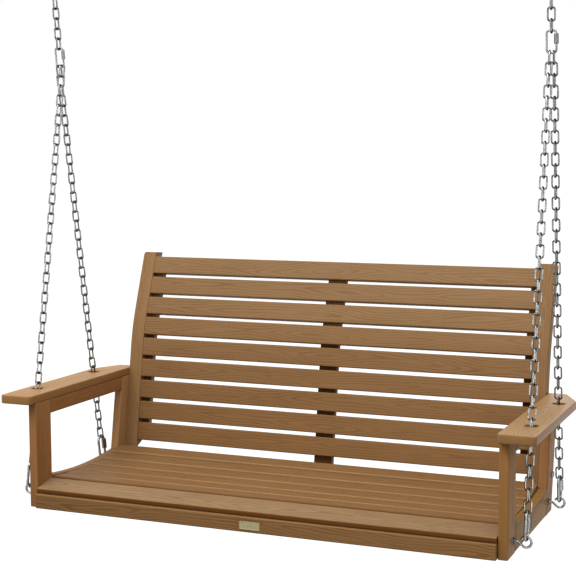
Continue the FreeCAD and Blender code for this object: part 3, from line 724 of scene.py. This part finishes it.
def closeMesh(work):
    bmesh.ops.remove_doubles(work, verts=work.verts, dist=weldGap)
    bmesh.ops.recalc_face_normals(work, faces=work.faces)


def islandsOf(name):
    # The separate solids of a node, as lists of corners
    work = bmesh.new()
    work.from_mesh(nodes[name].data)
    bmesh.ops.remove_doubles(work, verts=work.verts, dist=solidWeldGap)
    seen = set()
    islands = []
    for first in work.verts:
        if first in seen:
            continue
        island = []
        waiting = [first]
        seen.add(first)
        while waiting:
            vert = waiting.pop()
            island.append(vert.co.copy())
            for edge in vert.link_edges:
                other = edge.other_vert(vert)
                if other not in seen:
                    seen.add(other)
                    waiting.append(other)
        islands.append(island)
    work.free()
    return islands


def addShape(target, source, matrix):
    copy = source.copy()
    bmesh.ops.transform(copy, matrix=matrix, verts=copy.verts)
    mesh = bpy.data.meshes.new("passing")
    copy.to_mesh(mesh)
    copy.free()
    target.from_mesh(mesh)
    bpy.data.meshes.remove(mesh)


# Chain

chainLink = {
    "wire": 0.0043,
    "pitch": 0.026,
    "width": 0.0205,
    "corner": 0.0052,
    "wireSides": 8,
    "bendSteps": 3,
    "turnSteps": 90,     # ways tried in half a turn to find how a solid link is turned
    # Painted shade on the inside of a link's ends:
    "contactShadeFrom": -0.3,  # wire thicknesses out from the inside of a link's end
    "contactShadeFull": 1.15,
    "sidesContactShade": 0.1,
}


def makeLink():
    # A welded link about the origin, flat at its ends between round corners: long way Z, wide way X
    work = bmesh.new()
    corner = chainLink["corner"]
    across = (chainLink["width"] - chainLink["wire"]) / 2 - corner
    along = (chainLink["pitch"] + chainLink["wire"]) / 2 - corner
    start = Vector((across + corner, 0, -along))
    ring = startWire(work, chainLink["wire"] / 2, start, Vector((0, 0, 1)), chainLink["wireSides"])
    for x, z, shift in ((1, 1, (0, 0, 2 * along)), (-1, 1, (-2 * across, 0, 0)),
                        (-1, -1, (0, 0, -2 * along)), (1, -1, (2 * across, 0, 0))):
        ring = runOn(work, ring, Vector(shift))
        ring = bendOn(work, ring, Vector((x * across, 0, z * along)), Vector((0, -1, 0)), math.pi / 2,
                      chainLink["bendSteps"])
    closeMesh(work)
    return work


def linkPlace(points, heading):
    # Long way along the chain, wide way where the solid is wider
    helper = Vector((1, 0, 0)) - heading * heading.x
    helper.normalize()
    other = heading.cross(helper)
    angles = [math.pi * step / chainLink["turnSteps"] for step in range(chainLink["turnSteps"])]
    best = max((helper * math.cos(angle) + other * math.sin(angle) for angle in angles),
               key=lambda axis: spanAlong(points, axis) - spanAlong(points, heading.cross(axis)))
    deep = heading.cross(best)
    return levelFrame(centreOf(points, (best, deep, heading)), best, deep, heading)


def contactShadeShare(spot):
    # Painted shade: 1 on the inside of a link's ends, in the shade where the next link touches, falling
    # towards its outside
    depth = (abs(spot.z) - chainLink["pitch"] / 2) / chainLink["wire"]
    if depth <= chainLink["contactShadeFrom"]:
        return chainLink["sidesContactShade"]
    return max(0.0, min(1.0, chainLink["contactShadeFull"] - depth))


def makeChain(name, heading, link):
    work = bmesh.new()
    layer = work.verts.layers.float.new("paintedContactShade")
    shares = [contactShadeShare(vert.co) for vert in link.verts]
    islands = islandsOf(name)
    for points in islands:
        first = len(work.verts)
        addShape(work, link, linkPlace(points, heading))
        work.verts.ensure_lookup_table()
        for vert, share in zip(work.verts[first:], shares):
            vert[layer] = share
    piece = replaceNode(name, work)
    # The front chains get the zinc painted lighter
    if name.startswith("front"):
        piece.data.materials[0] = materials["paintedLitChain"]
    return len(islands)


def headingOf(name):
    islands = islandsOf(name)
    if len(islands) == 1:
        return Vector((0, 0, 1))
    centres = [meanOf(points) for points in islands]
    return (max(centres, key=lambda spot: spot.z) - min(centres, key=lambda spot: spot.z)).normalized()


link = makeLink()
linkCount = 0
for name in sideNames.values():
    for chain in ("upper_chain_", "swivel_link_", "front_chain_", "rear_chain_"):
        linkCount += makeChain(chain + name, headingOf(chain + name), link)
link.free()
print("chain links made:", linkCount)

# Quick links and their screw sleeves

lowerQuick = {"wire": 0.007, "length": 0.071, "width": 0.035, "corner": 0.014, "sleeveLength": 0.028,
              "flats": 0.012, "gapTop": 0.002, "gap": 0.0064}
upperQuick = {"wire": 0.005, "length": 0.055, "width": 0.027, "corner": 0.0068, "sleeveLength": 0.023,
              "flats": 0.0095, "gapTop": 0.002, "gap": 0.0084}
quickForm = {
    "wireSides": 16,
    "bendSteps": 6,
    "leastFlat": 0.0005,  # a shorter straight run between two corners is left out
    "threadPitch": 0.16,  # pitch, depth and rim are shares of the wire's thickness
    "threadDepth": 0.03,
    "threadTurns": 10,
    "sleeveRim": 0.1,
    "sleeveSoftness": 0.0003,
    "sleeveEndFrom": 0.015,  # the other end's corners are further than this from a sleeve's top corner
}
threadForm = {"stepsPerTurn": 12, "root": 0.3, "flank": 0.42}


def addThread(work, start, axis, sideways, radius, depth, pitch, turns):
    # A ridge that winds along a rod
    root = sideways * (radius - depth * threadForm["root"])
    flank = axis * (pitch * threadForm["flank"])
    profile = [start + root - flank, start + sideways * (radius + depth), start + root + flank]
    verts = [work.verts.new(point) for point in profile]
    edges = [work.edges.new((verts[0], verts[1])), work.edges.new((verts[1], verts[2])),
             work.edges.new((verts[2], verts[0]))]
    stepsPerTurn = threadForm["stepsPerTurn"]
    made = bmesh.ops.spin(work, geom=verts + edges, cent=start, axis=axis, dvec=axis * (pitch / stepsPerTurn),
                          angle=2 * math.pi * turns, steps=int(turns * stepsPerTurn),
                          use_merge=False)["geom_last"]
    bmesh.ops.contextual_create(work, geom=edges)
    bmesh.ops.contextual_create(work, geom=[item for item in made if isinstance(item, bmesh.types.BMEdge)])


def makeQuickLink(plan):
    # Open link about its lower bar's centre, with the gap at the top of its +X side
    work = bmesh.new()
    half = (plan["width"] - plan["wire"]) / 2
    tall = plan["length"] - plan["wire"]
    corner = plan["corner"]
    flat = 2 * (half - corner)
    gapTop = tall - corner - plan["gapTop"]
    gapBottom = gapTop - plan["gap"]
    y = Vector((0, -1, 0))
    quarter = math.pi / 2
    steps = quickForm["bendSteps"]
    ring = startWire(work, plan["wire"] / 2, Vector((half, 0, gapTop)), Vector((0, 0, 1)),
                     quickForm["wireSides"])
    capWire(work, ring)
    ring = runOn(work, ring, Vector((0, 0, plan["gapTop"])))
    ring = bendOn(work, ring, Vector((half - corner, 0, tall - corner)), y, quarter, steps)
    if flat > quickForm["leastFlat"]:
        ring = runOn(work, ring, Vector((-flat, 0, 0)))
    ring = bendOn(work, ring, Vector((corner - half, 0, tall - corner)), y, quarter, steps)
    ring = runOn(work, ring, Vector((0, 0, 2 * corner - tall)))
    ring = bendOn(work, ring, Vector((corner - half, 0, corner)), y, quarter, steps)
    if flat > quickForm["leastFlat"]:
        ring = runOn(work, ring, Vector((flat, 0, 0)))
    ring = bendOn(work, ring, Vector((half - corner, 0, corner)), y, quarter, steps)
    ring = runOn(work, ring, Vector((0, 0, gapBottom - corner)))
    capWire(work, ring)
    pitch = plan["wire"] * quickForm["threadPitch"]
    turns = quickForm["threadTurns"]
    addThread(work, Vector((half, 0, gapBottom - pitch * (turns + 1))), Vector((0, 0, 1)),
              Vector((1, 0, 0)), plan["wire"] / 2, plan["wire"] * quickForm["threadDepth"], pitch, turns)
    closeMesh(work)
    return work


def levelRims(work):
    # Edges round the two ends of a bar about the Z axis
    return [edge for edge in work.edges if abs(edge.verts[0].co.z - edge.verts[1].co.z) < weldGap]


def makeHexagon(flats, depth, rim):
    # Six-sided bar about the Z axis with its rims eased
    work = bmesh.new()
    bmesh.ops.create_cone(work, cap_ends=True, segments=6, radius1=flats / math.sqrt(3),
                          radius2=flats / math.sqrt(3), depth=depth)
    bevelEdges(work, levelRims(work), rim, 2)
    return work


def makeSleeve(plan):
    # Six-sided screw sleeve round the link's +X side
    work = makeHexagon(plan["flats"], plan["sleeveLength"], plan["wire"] * quickForm["sleeveRim"])
    half = (plan["width"] - plan["wire"]) / 2
    low = plan["length"] - plan["wire"] - plan["corner"] - plan["sleeveLength"]
    middle = Vector((half, 0, low + plan["sleeveLength"] / 2))
    bmesh.ops.rotate(work, cent=(0, 0, 0), matrix=Matrix.Rotation(math.radians(30), 3, "Z"),
                     verts=work.verts)
    bmesh.ops.translate(work, vec=middle, verts=work.verts)
    return work


def quickPlace(linkName, sleeveName, plan):
    # The link's frame: up along its length, right towards its sleeve
    points = [vert.co for vert in nodes[linkName].data.vertices]
    sleevePoints = [vert.co for vert in nodes[sleeveName].data.vertices]
    up = quickHeading(sleevePoints)
    right = meanOf(sleevePoints) - meanOf(points)
    right = (right - up * right.dot(up)).normalized()
    deep = up.cross(right)
    bottom = min(point.dot(up) for point in points) + plan["wire"] / 2
    origin = right * middleAlong(points, right) + deep * middleAlong(points, deep) + up * bottom
    return levelFrame(origin, right, deep, up)


def quickHeading(sleevePoints):
    # Straight edges of the sleeve run along the link's side
    top = max(sleevePoints, key=lambda point: point.z)
    low = [point for point in sleevePoints if (point - top).length > quickForm["sleeveEndFrom"]]
    spans = sorted(((point - top) for point in low), key=lambda span: span.length)
    return (-spans[0]).normalized()


for name in sideNames.values():
    for station, plan in (("upper", upperQuick), ("front", lowerQuick), ("rear", lowerQuick)):
        linkName = "%s_quick_link_%s" % (station, name)
        sleeveName = "%s_sleeve_%s" % (station, name)
        place = quickPlace(linkName, sleeveName, plan)
        for node, shape in ((linkName, makeQuickLink(plan)), (sleeveName, makeSleeve(plan))):
            bmesh.ops.transform(shape, matrix=place, verts=shape.verts)
            piece = replaceNode(node, shape)
            if node == sleeveName:
                roundEdges(piece, quickForm["sleeveSoftness"], 2)
print("quick links made")

# Eye bolts with their nuts and washers

eyeBolt = {
    "wire": 0.006,
    "wireSides": 14,
    "radius": 0.012,
    "x": 0.648,
    "height": 33.5,       # height, front and rear are places on the level seat, in millimetres
    "front": 47.0,
    "rear": 416.5,
    "innerEnd": 0.5624,
    "neck": 0.0175,
    "neckBend": 0.006,
    "neckSteps": 4,
    "sweep": math.radians(287.1),
    "sweepSteps": 30,
    "threadPitch": 0.001,
    "threadDepth": 0.00022,
    "innerThread": 0.5629,
    "innerTurns": 3.5,
    "outerThread": 0.6247,
    "outerTurns": 3,
}
postFace = 0.618     # metres from the middle to a post's outer face
supportFace = 0.573  # and to a seat support's inner face


def eyeSpots():
    return [(side, eyeBolt[leg]) for side in sideNames for leg in ("front", "rear")]


def sideFrame(side, y):
    # Right is outwards, so a left-hand piece is a turned copy
    origin = level(0, y, eyeBolt["height"])
    if side > 0:
        return levelFrame(origin, seatAcross, seatBack, seatUp)
    return levelFrame(origin, -seatAcross, -seatBack, seatUp)


def makeEyeBolt():
    work = bmesh.new()
    plan = eyeBolt
    turn = math.asin(plan["radius"] / plan["neck"])
    neckX = plan["x"] - plan["neck"]
    bend = plan["neckBend"]
    trim = bend * math.tan(turn / 2)
    ring = startWire(work, plan["wire"] / 2, Vector((plan["innerEnd"], 0, 0)), Vector((1, 0, 0)),
                     plan["wireSides"])
    capWire(work, ring)
    ring = runOn(work, ring, Vector((neckX - trim - plan["innerEnd"], 0, 0)))
    ring = bendOn(work, ring, Vector((neckX - trim, 0, -bend)), Vector((0, 1, 0)), turn, plan["neckSteps"])
    slope = Vector((math.cos(turn), 0, -math.sin(turn)))
    tangentLength = plan["neck"] * math.cos(turn)
    ring = runOn(work, ring, slope * (tangentLength - trim))
    ring = bendOn(work, ring, Vector((plan["x"], 0, 0)), Vector((0, -1, 0)), plan["sweep"],
                  plan["sweepSteps"])
    capWire(work, ring)
    closeMesh(work)
    return work


def makeBoltThread():
    work = bmesh.new()
    plan = eyeBolt
    for part in ("inner", "outer"):
        addThread(work, Vector((plan[part + "Thread"], 0, 0)), Vector((1, 0, 0)), Vector((0, 0, 1)),
                  plan["wire"] / 2, plan["threadDepth"], plan["threadPitch"], plan[part + "Turns"])
    closeMesh(work)
    return work


nutPlan = {"flats": 0.011, "thick": 0.005, "rim": 0.1}  # rims are shares of the thickness
washerPlan = {"radius": 0.0085, "thick": 0.0016, "rim": 0.22, "sides": 28}
fasteningSoftness = 0.0002


def turnToX(work):
    bmesh.ops.transform(work, matrix=Matrix.Rotation(math.radians(90), 4, "Y"), verts=work.verts)


def makeNut():
    # Hexagon nut about the X axis
    work = makeHexagon(nutPlan["flats"], nutPlan["thick"], nutPlan["thick"] * nutPlan["rim"])
    turnToX(work)
    return work


def addCylinder(work, radius, topRadius, depth, sides):
    bmesh.ops.create_cone(work, cap_ends=True, segments=sides, radius1=radius, radius2=topRadius, depth=depth)


def makeWasher():
    # Round washer about the X axis
    work = bmesh.new()
    thick = washerPlan["thick"]
    addCylinder(work, washerPlan["radius"], washerPlan["radius"], thick, washerPlan["sides"])
    bevelEdges(work, levelRims(work), thick * washerPlan["rim"], 2)
    turnToX(work)
    return work


def makeEyeHardware():
    bolts = bmesh.new()
    nuts = bmesh.new()
    washers = bmesh.new()
    bolt = makeEyeBolt()
    thread = makeBoltThread()
    nut = makeNut()
    washer = makeWasher()
    for side, y in eyeSpots():
        place = sideFrame(side, y)
        addShape(bolts, bolt, place)
        addShape(bolts, thread, place)
        outer = postFace + washerPlan["thick"] / 2
        inner = supportFace - washerPlan["thick"] / 2
        addShape(washers, washer, place @ Matrix.Translation((outer, 0, 0)))
        addShape(washers, washer, place @ Matrix.Translation((inner, 0, 0)))
        away = (washerPlan["thick"] + nutPlan["thick"]) / 2
        addShape(nuts, nut, place @ Matrix.Translation((outer + away, 0, 0)))
        addShape(nuts, nut, place @ Matrix.Translation((inner - away, 0, 0)))
    for shape in (bolt, thread, nut, washer):
        shape.free()
    replaceNode("eye_bolts", bolts)
    for name, work in (("eye_bolt_nuts", nuts), ("eye_bolt_washers", washers)):
        roundEdges(replaceNode(name, work), fasteningSoftness, 2)


makeEyeHardware()
print("eye bolts made")

# Ceiling hooks

hook = {
    "wire": 0.0095,
    "wireSides": 18,
    "bend": 0.01875,
    "bendSteps": 28,
    "drop": 0.045,
    "neck": 0.016,
    "neckBend": 0.009,
    "neckSteps": 5,
    "lean": math.radians(40.3),
    "past": math.radians(186),
    "studRadius": 0.004,
    "studLength": 0.055,
    "studSides": 20,
    "rootShare": 0.86,  # share of the stud's radius that is left below its thread
    "tipShare": 0.1,
    "point": 0.010,
    "threadFrom": 0.004,
    "threadPitch": 0.0028,
    "threadDepth": 0.0006,
    "threadTurns": 14,
}


def makeHook():
    # A screw hook below the ceiling at the origin: shank, an easy neck and a round that opens to -X
    work = bmesh.new()
    lean, bend = hook["lean"], hook["neckBend"]
    trim = bend * math.tan(lean / 2)
    neckTop = Vector((0, 0, trim - hook["neck"]))
    slope = Vector((math.sin(lean), 0, -math.cos(lean)))
    ring = startWire(work, hook["wire"] / 2, Vector((0, 0, 0)), Vector((0, 0, -1)), hook["wireSides"])
    capWire(work, ring)
    ring = runOn(work, ring, neckTop)
    ring = bendOn(work, ring, neckTop + Vector((bend, 0, 0)), Vector((0, -1, 0)), lean, hook["neckSteps"])
    touch = hook["bend"] / math.tan(lean)
    ring = runOn(work, ring, slope * (touch - trim))
    ring = bendOn(work, ring, Vector((0, 0, -hook["drop"])), Vector((0, 1, 0)), lean + hook["past"],
                  hook["bendSteps"])
    capWire(work, ring)
    straight = hook["studLength"] - hook["point"]
    root, tip = hook["studRadius"] * hook["rootShare"], hook["studRadius"] * hook["tipShare"]
    for low, high, top in ((0, straight, root), (straight, hook["studLength"], tip)):
        stud = bmesh.new()
        addCylinder(stud, root, top, high - low, hook["studSides"])
        addShape(work, stud, Matrix.Translation((0, 0, (low + high) / 2)))
        stud.free()
    addThread(work, Vector((0, 0, hook["threadFrom"])), Vector((0, 0, 1)), Vector((1, 0, 0)),
              hook["studRadius"] - hook["threadDepth"], hook["threadDepth"], hook["threadPitch"],
              hook["threadTurns"])
    closeMesh(work)
    return work


for side, name in sideNames.items():
    node = "ceiling_hook_" + name
    low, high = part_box(node)
    shape = makeHook()
    turn = Matrix.Identity(4) if side < 0 else Matrix.Rotation(math.pi, 4, "Z")
    place = Matrix.Translation((side * eyeBolt["x"], (low.y + high.y) / 2, high.z - hook["studLength"]))
    bmesh.ops.transform(shape, matrix=place @ turn, verts=shape.verts)
    replaceNode(node, shape)
print("hooks made")

# Bolt heads in the rear posts and screw heads behind the slats

boltHead = {
    "radius": 7.5,
    "height": 5.0,
    "socket": 0.12,   # share of the radius round the recess
    "face": 618.0,
    "shank": 3.5,
    "shankSides": 16,
    "length": 56.0,
    "heights": (92.0, 215.0),
    "behind": 13.0,
}
screwHead = {
    "radius": 3.6,
    "height": 1.6,
    "socket": 0.3,
    "depth": 38.0,
    "ledgeX": 545.0,
    "centreX": 11.0,
    "top": 611.0,
    "topDrop": 12.0,
    "pitch": 59.8,
    "slat": 50.0,
    "reach": 30.0,
}
panHead = {
    "sides": 24,
    "dome": 0.62,     # dome, recess and rimFrom are shares of the head's height
    "domeSteps": 5,
    "recess": 0.45,
    "rimFrom": 0.9,
    "topFacing": 0.99,
}


def makePanHead(plan):
    # Domed head on the plane z = 0 with a round recess
    work = bmesh.new()
    radius, height = plan["radius"], plan["height"]
    rimHeight = height * panHead["rimFrom"]
    addCylinder(work, radius, radius, height, panHead["sides"])
    bmesh.ops.translate(work, vec=(0, 0, height / 2), verts=work.verts)
    rim = [edge for edge in work.edges if min(vert.co.z for vert in edge.verts) > rimHeight]
    bevelEdges(work, rim, height * panHead["dome"], panHead["domeSteps"])
    top = [face for face in work.faces
           if face.normal.z > panHead["topFacing"] and face.calc_center_median().z > rimHeight]
    bmesh.ops.inset_region(work, faces=top, thickness=radius * plan["socket"], depth=0.0)
    bmesh.ops.translate(work, vec=(0, 0, -height * panHead["recess"]),
                        verts=list({vert for face in top for vert in face.verts}))
    return work


def dressBolts():
    work = bmesh.new()
    head = makePanHead(boltHead)
    shank = bmesh.new()
    addCylinder(shank, boltHead["shank"], boltHead["shank"], boltHead["length"], boltHead["shankSides"])
    for side in sideNames:
        for height in boltHead["heights"]:
            slope = math.tan(back["lowerRake"])
            y = back["footFront"] + height * slope + boltHead["behind"] / math.cos(back["lowerRake"])
            outward = seatAcross * side
            turn = levelFrame(level(side * boltHead["face"], y, height), seatBack, outward.cross(seatBack),
                              outward) @ Matrix.Scale(mm, 4)
            addShape(work, head, turn)
            addShape(work, shank, turn @ Matrix.Translation((0, 0, -boltHead["length"] / 2)))
    head.free()
    shank.free()
    closeMesh(work)
    roundEdges(replaceNode("stile_bolts", work), fasteningSoftness, 2)


def backPoint(distance, depth):
    # Place behind the back's front face, measured down from the top along it, and the rake there
    height = screwHead["top"] - distance * math.cos(back["upperRake"])
    rake = back["upperRake"]
    if height < back["bendHeight"]:
        run = (screwHead["top"] - back["bendHeight"]) / math.cos(back["upperRake"])
        height = back["bendHeight"] - (distance - run) * math.cos(back["lowerRake"])
        rake = back["lowerRake"]
    y = backFace(height) + depth * math.cos(rake)
    return y, height - depth * math.sin(rake), rake


def surfaceOf(name):
    # The solid's surface, for heads that lie on it
    solid = bmesh.new()
    solid.from_mesh(nodes[name].data)
    surface = BVHTree.FromBMesh(solid)
    solid.free()
    return surface


def addScrewHeads():
    surfaces = {place: surfaceOf("back_stile_" + place) for place in ("left", "centre", "right")}
    work = bmesh.new()
    head = makePanHead(screwHead)
    rows = (("left", -screwHead["ledgeX"]), ("centre", -screwHead["centreX"]),
            ("centre", screwHead["centreX"]), ("right", screwHead["ledgeX"]))
    for index in range(backSlatCount):
        distance = screwHead["topDrop"] + index * screwHead["pitch"] + screwHead["slat"] / 2
        y, height, rake = backPoint(distance, screwHead["depth"])
        outward = seatBack * math.cos(rake) - seatUp * math.sin(rake)
        for stile, x in rows:
            behind = level(x, y, height) + outward * screwHead["reach"] * mm
            found, facing = surfaces[stile].ray_cast(behind, -outward)[:2]
            place = levelFrame(found, seatAcross, facing.cross(seatAcross).normalized(), facing)
            addShape(work, head, place @ Matrix.Scale(mm, 4))
    head.free()
    closeMesh(work)
    finishPiece("screwHeads", work, "seat", finish="bolt_steel")


dressBolts()
addScrewHeads()
print("bolts and screws made")

# Bare brass plate on the apron

plate = {
    "x": 0.0,
    "z": 18.2,
    "width": 53.0,
    "height": 20.0,
    "thick": 1.2,
    "corner": 2.0,
    "cornerSteps": 4,
    "rim": 1.8,
    "slope": 0.35,
    "sink": 0.45,
    "bed": 0.05,          # how far the plate is let into the apron
    "apronFace": -13.0,
    "roundWidth": 0.00025,
    "frontFacing": -0.9,
}


def makePlate():
    work = bmesh.new()
    made = bmesh.ops.create_cube(work, size=1.0)
    bmesh.ops.scale(work, vec=(plate["width"], plate["thick"], plate["height"]), verts=made["verts"])
    upright = [edge for edge in work.edges
               if abs(edge.verts[0].co.y - edge.verts[1].co.y) > plate["thick"] / 2]
    bevelEdges(work, upright, plate["corner"], plate["cornerSteps"])
    bmesh.ops.recalc_face_normals(work, faces=work.faces)
    front = [face for face in work.faces if face.normal.y < plate["frontFacing"]]
    bmesh.ops.inset_region(work, faces=front, thickness=plate["rim"], depth=0.0)
    bmesh.ops.inset_region(work, faces=front, thickness=plate["slope"], depth=-plate["sink"])
    centre = level(plate["x"], plate["apronFace"] - plate["thick"] / 2 + plate["bed"], plate["z"])
    place = levelFrame(centre, seatAcross, seatBack, seatUp) @ Matrix.Scale(mm, 4)
    bmesh.ops.transform(work, matrix=place, verts=work.verts)
    roundEdges(finishPiece("brassPlate", work, "seat", finish="brass"), plate["roundWidth"], 2)


makePlate()
print("plate made")

# Stage, light and camera

stage = {"floorBelow": 0.42, "reach": 14.0, "sides": 64, "grey": 0.12, "whiten": 0.93, "roughness": 0.9,
         "gloss": 0.1}


def seenWhite(tree):
    # 1 for the camera and for what metal and gloss mirror
    path = tree.nodes.new("ShaderNodeLightPath")
    mirrored = addMath(tree, "MAXIMUM", path.outputs["Is Glossy Ray"], path.outputs["Is Transmission Ray"])
    return addMath(tree, "MAXIMUM", path.outputs["Is Camera Ray"], mirrored)


def makeStage():
    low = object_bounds()[0]
    work = bmesh.new()
    bmesh.ops.create_circle(work, cap_ends=True, radius=stage["reach"], segments=stage["sides"])
    bmesh.ops.translate(work, vec=(0, 0, low.z - stage["floorBelow"]), verts=work.verts)
    mesh = bpy.data.meshes.new("floor")
    work.to_mesh(mesh)
    work.free()
    placeObject("floor", mesh)
    material, tree, shader = newMaterial("paleFloor")
    shader.inputs["Base Color"].default_value = (stage["grey"], stage["grey"], stage["grey"], 1)
    shader.inputs["Roughness"].default_value = stage["roughness"]
    shader.inputs["Specular IOR Level"].default_value = stage["gloss"]
    shader.inputs["Emission Color"].default_value = (1, 1, 1, 1)
    tree.links.new(addMath(tree, "MULTIPLY", seenWhite(tree), stage["whiten"]),
                   shader.inputs["Emission Strength"])
    mesh.materials.append(material)


lamps = (
    {"name": "keySoftbox", "at": (-0.9, -1.7, 2.0), "to": (0, 0, -1.1), "size": (3.6, 1.4), "watts": 110},
    {"name": "backSoftbox", "at": (0, 3.2, 0.4), "to": (0, 0, -1.0), "size": (3.4, 1.4), "watts": 55},
    {"name": "frontStrip", "at": (1.5, -3.0, -0.3), "to": (0, 0, -0.5), "size": (0.12, 2.4), "watts": 5},
    {"name": "leftStrip", "at": (-3.2, -1.8, -0.2), "to": (0, 0, -0.6), "size": (0.14, 2.6), "watts": 10},
    {"name": "rightStrip", "at": (3.2, -1.4, -0.2), "to": (0, 0, -0.6), "size": (0.14, 2.6), "watts": 11},
)


def makeLamp(plan):
    lamp = bpy.data.lights.new(plan["name"], "AREA")
    lamp.shape = "RECTANGLE"
    lamp.size, lamp.size_y = plan["size"]
    lamp.energy = plan["watts"]
    holder = placeObject(plan["name"], lamp)
    holder.location = plan["at"]
    heading = Vector(plan["to"]) - Vector(plan["at"])
    holder.rotation_euler = heading.to_track_quat("-Z", "Y").to_euler()


studio = {"low": 0.06, "high": 1.1, "towards": (0.0, 0.1, 0.99), "from": -0.3, "to": 0.8}


def makeWorld():
    # White to the camera; to all else a bright room overhead and behind, dark below and in front
    world = bpy.data.worlds.new("studio")
    bpy.context.scene.world = world
    world.use_nodes = True
    tree = world.node_tree
    sky = tree.nodes["Background"]
    sky.inputs["Color"].default_value = (1, 1, 1, 1)
    heading = tree.nodes.new("ShaderNodeTexCoord")
    facing = addVectorMath(tree, "DOT_PRODUCT", heading.outputs["Generated"], studio["towards"])
    room = addSmoothRange(tree, facing.outputs["Value"], studio["from"], studio["to"], studio["low"],
                          studio["high"])
    strength = addMath(tree, "MAXIMUM", seenWhite(tree), room)
    tree.links.new(strength, sky.inputs["Strength"])


camera = {"x": 1301.9, "y": -2898.2, "z": 906.1, "yaw": math.radians(22.607),
          "pitch": math.radians(5.816), "roll": math.radians(-0.144), "focalPixels": 1367.88,
          "imagePixels": 576, "sensor": 36.0, "clipStart": 0.1, "clipEnd": 60}


def makeCamera():
    yaw, pitch, roll = camera["yaw"], camera["pitch"], camera["roll"]
    forward = levelTurn(-math.sin(yaw) * math.cos(pitch), math.cos(yaw) * math.cos(pitch),
                        -math.sin(pitch)).normalized()
    right = levelTurn(math.cos(yaw), math.sin(yaw), 0).normalized()
    up = right.cross(forward)
    rolledRight = right * math.cos(roll) + up * math.sin(roll)
    rolledUp = up * math.cos(roll) - right * math.sin(roll)
    data = bpy.data.cameras.new("photoCamera")
    data.sensor_width = camera["sensor"]
    data.lens = camera["focalPixels"] / camera["imagePixels"] * camera["sensor"]
    data.clip_start, data.clip_end = camera["clipStart"], camera["clipEnd"]
    holder = placeObject("photoCamera", data)
    holder.matrix_world = levelFrame(level(camera["x"], camera["y"], camera["z"]), rolledRight, rolledUp,
                                     -forward)
    bpy.context.scene.camera = holder


makeStage()
makeWorld()
for lampPlan in lamps:
    makeLamp(lampPlan)
makeCamera()
bpy.context.scene.view_settings.view_transform = "Standard"
print("stage, light and camera made")
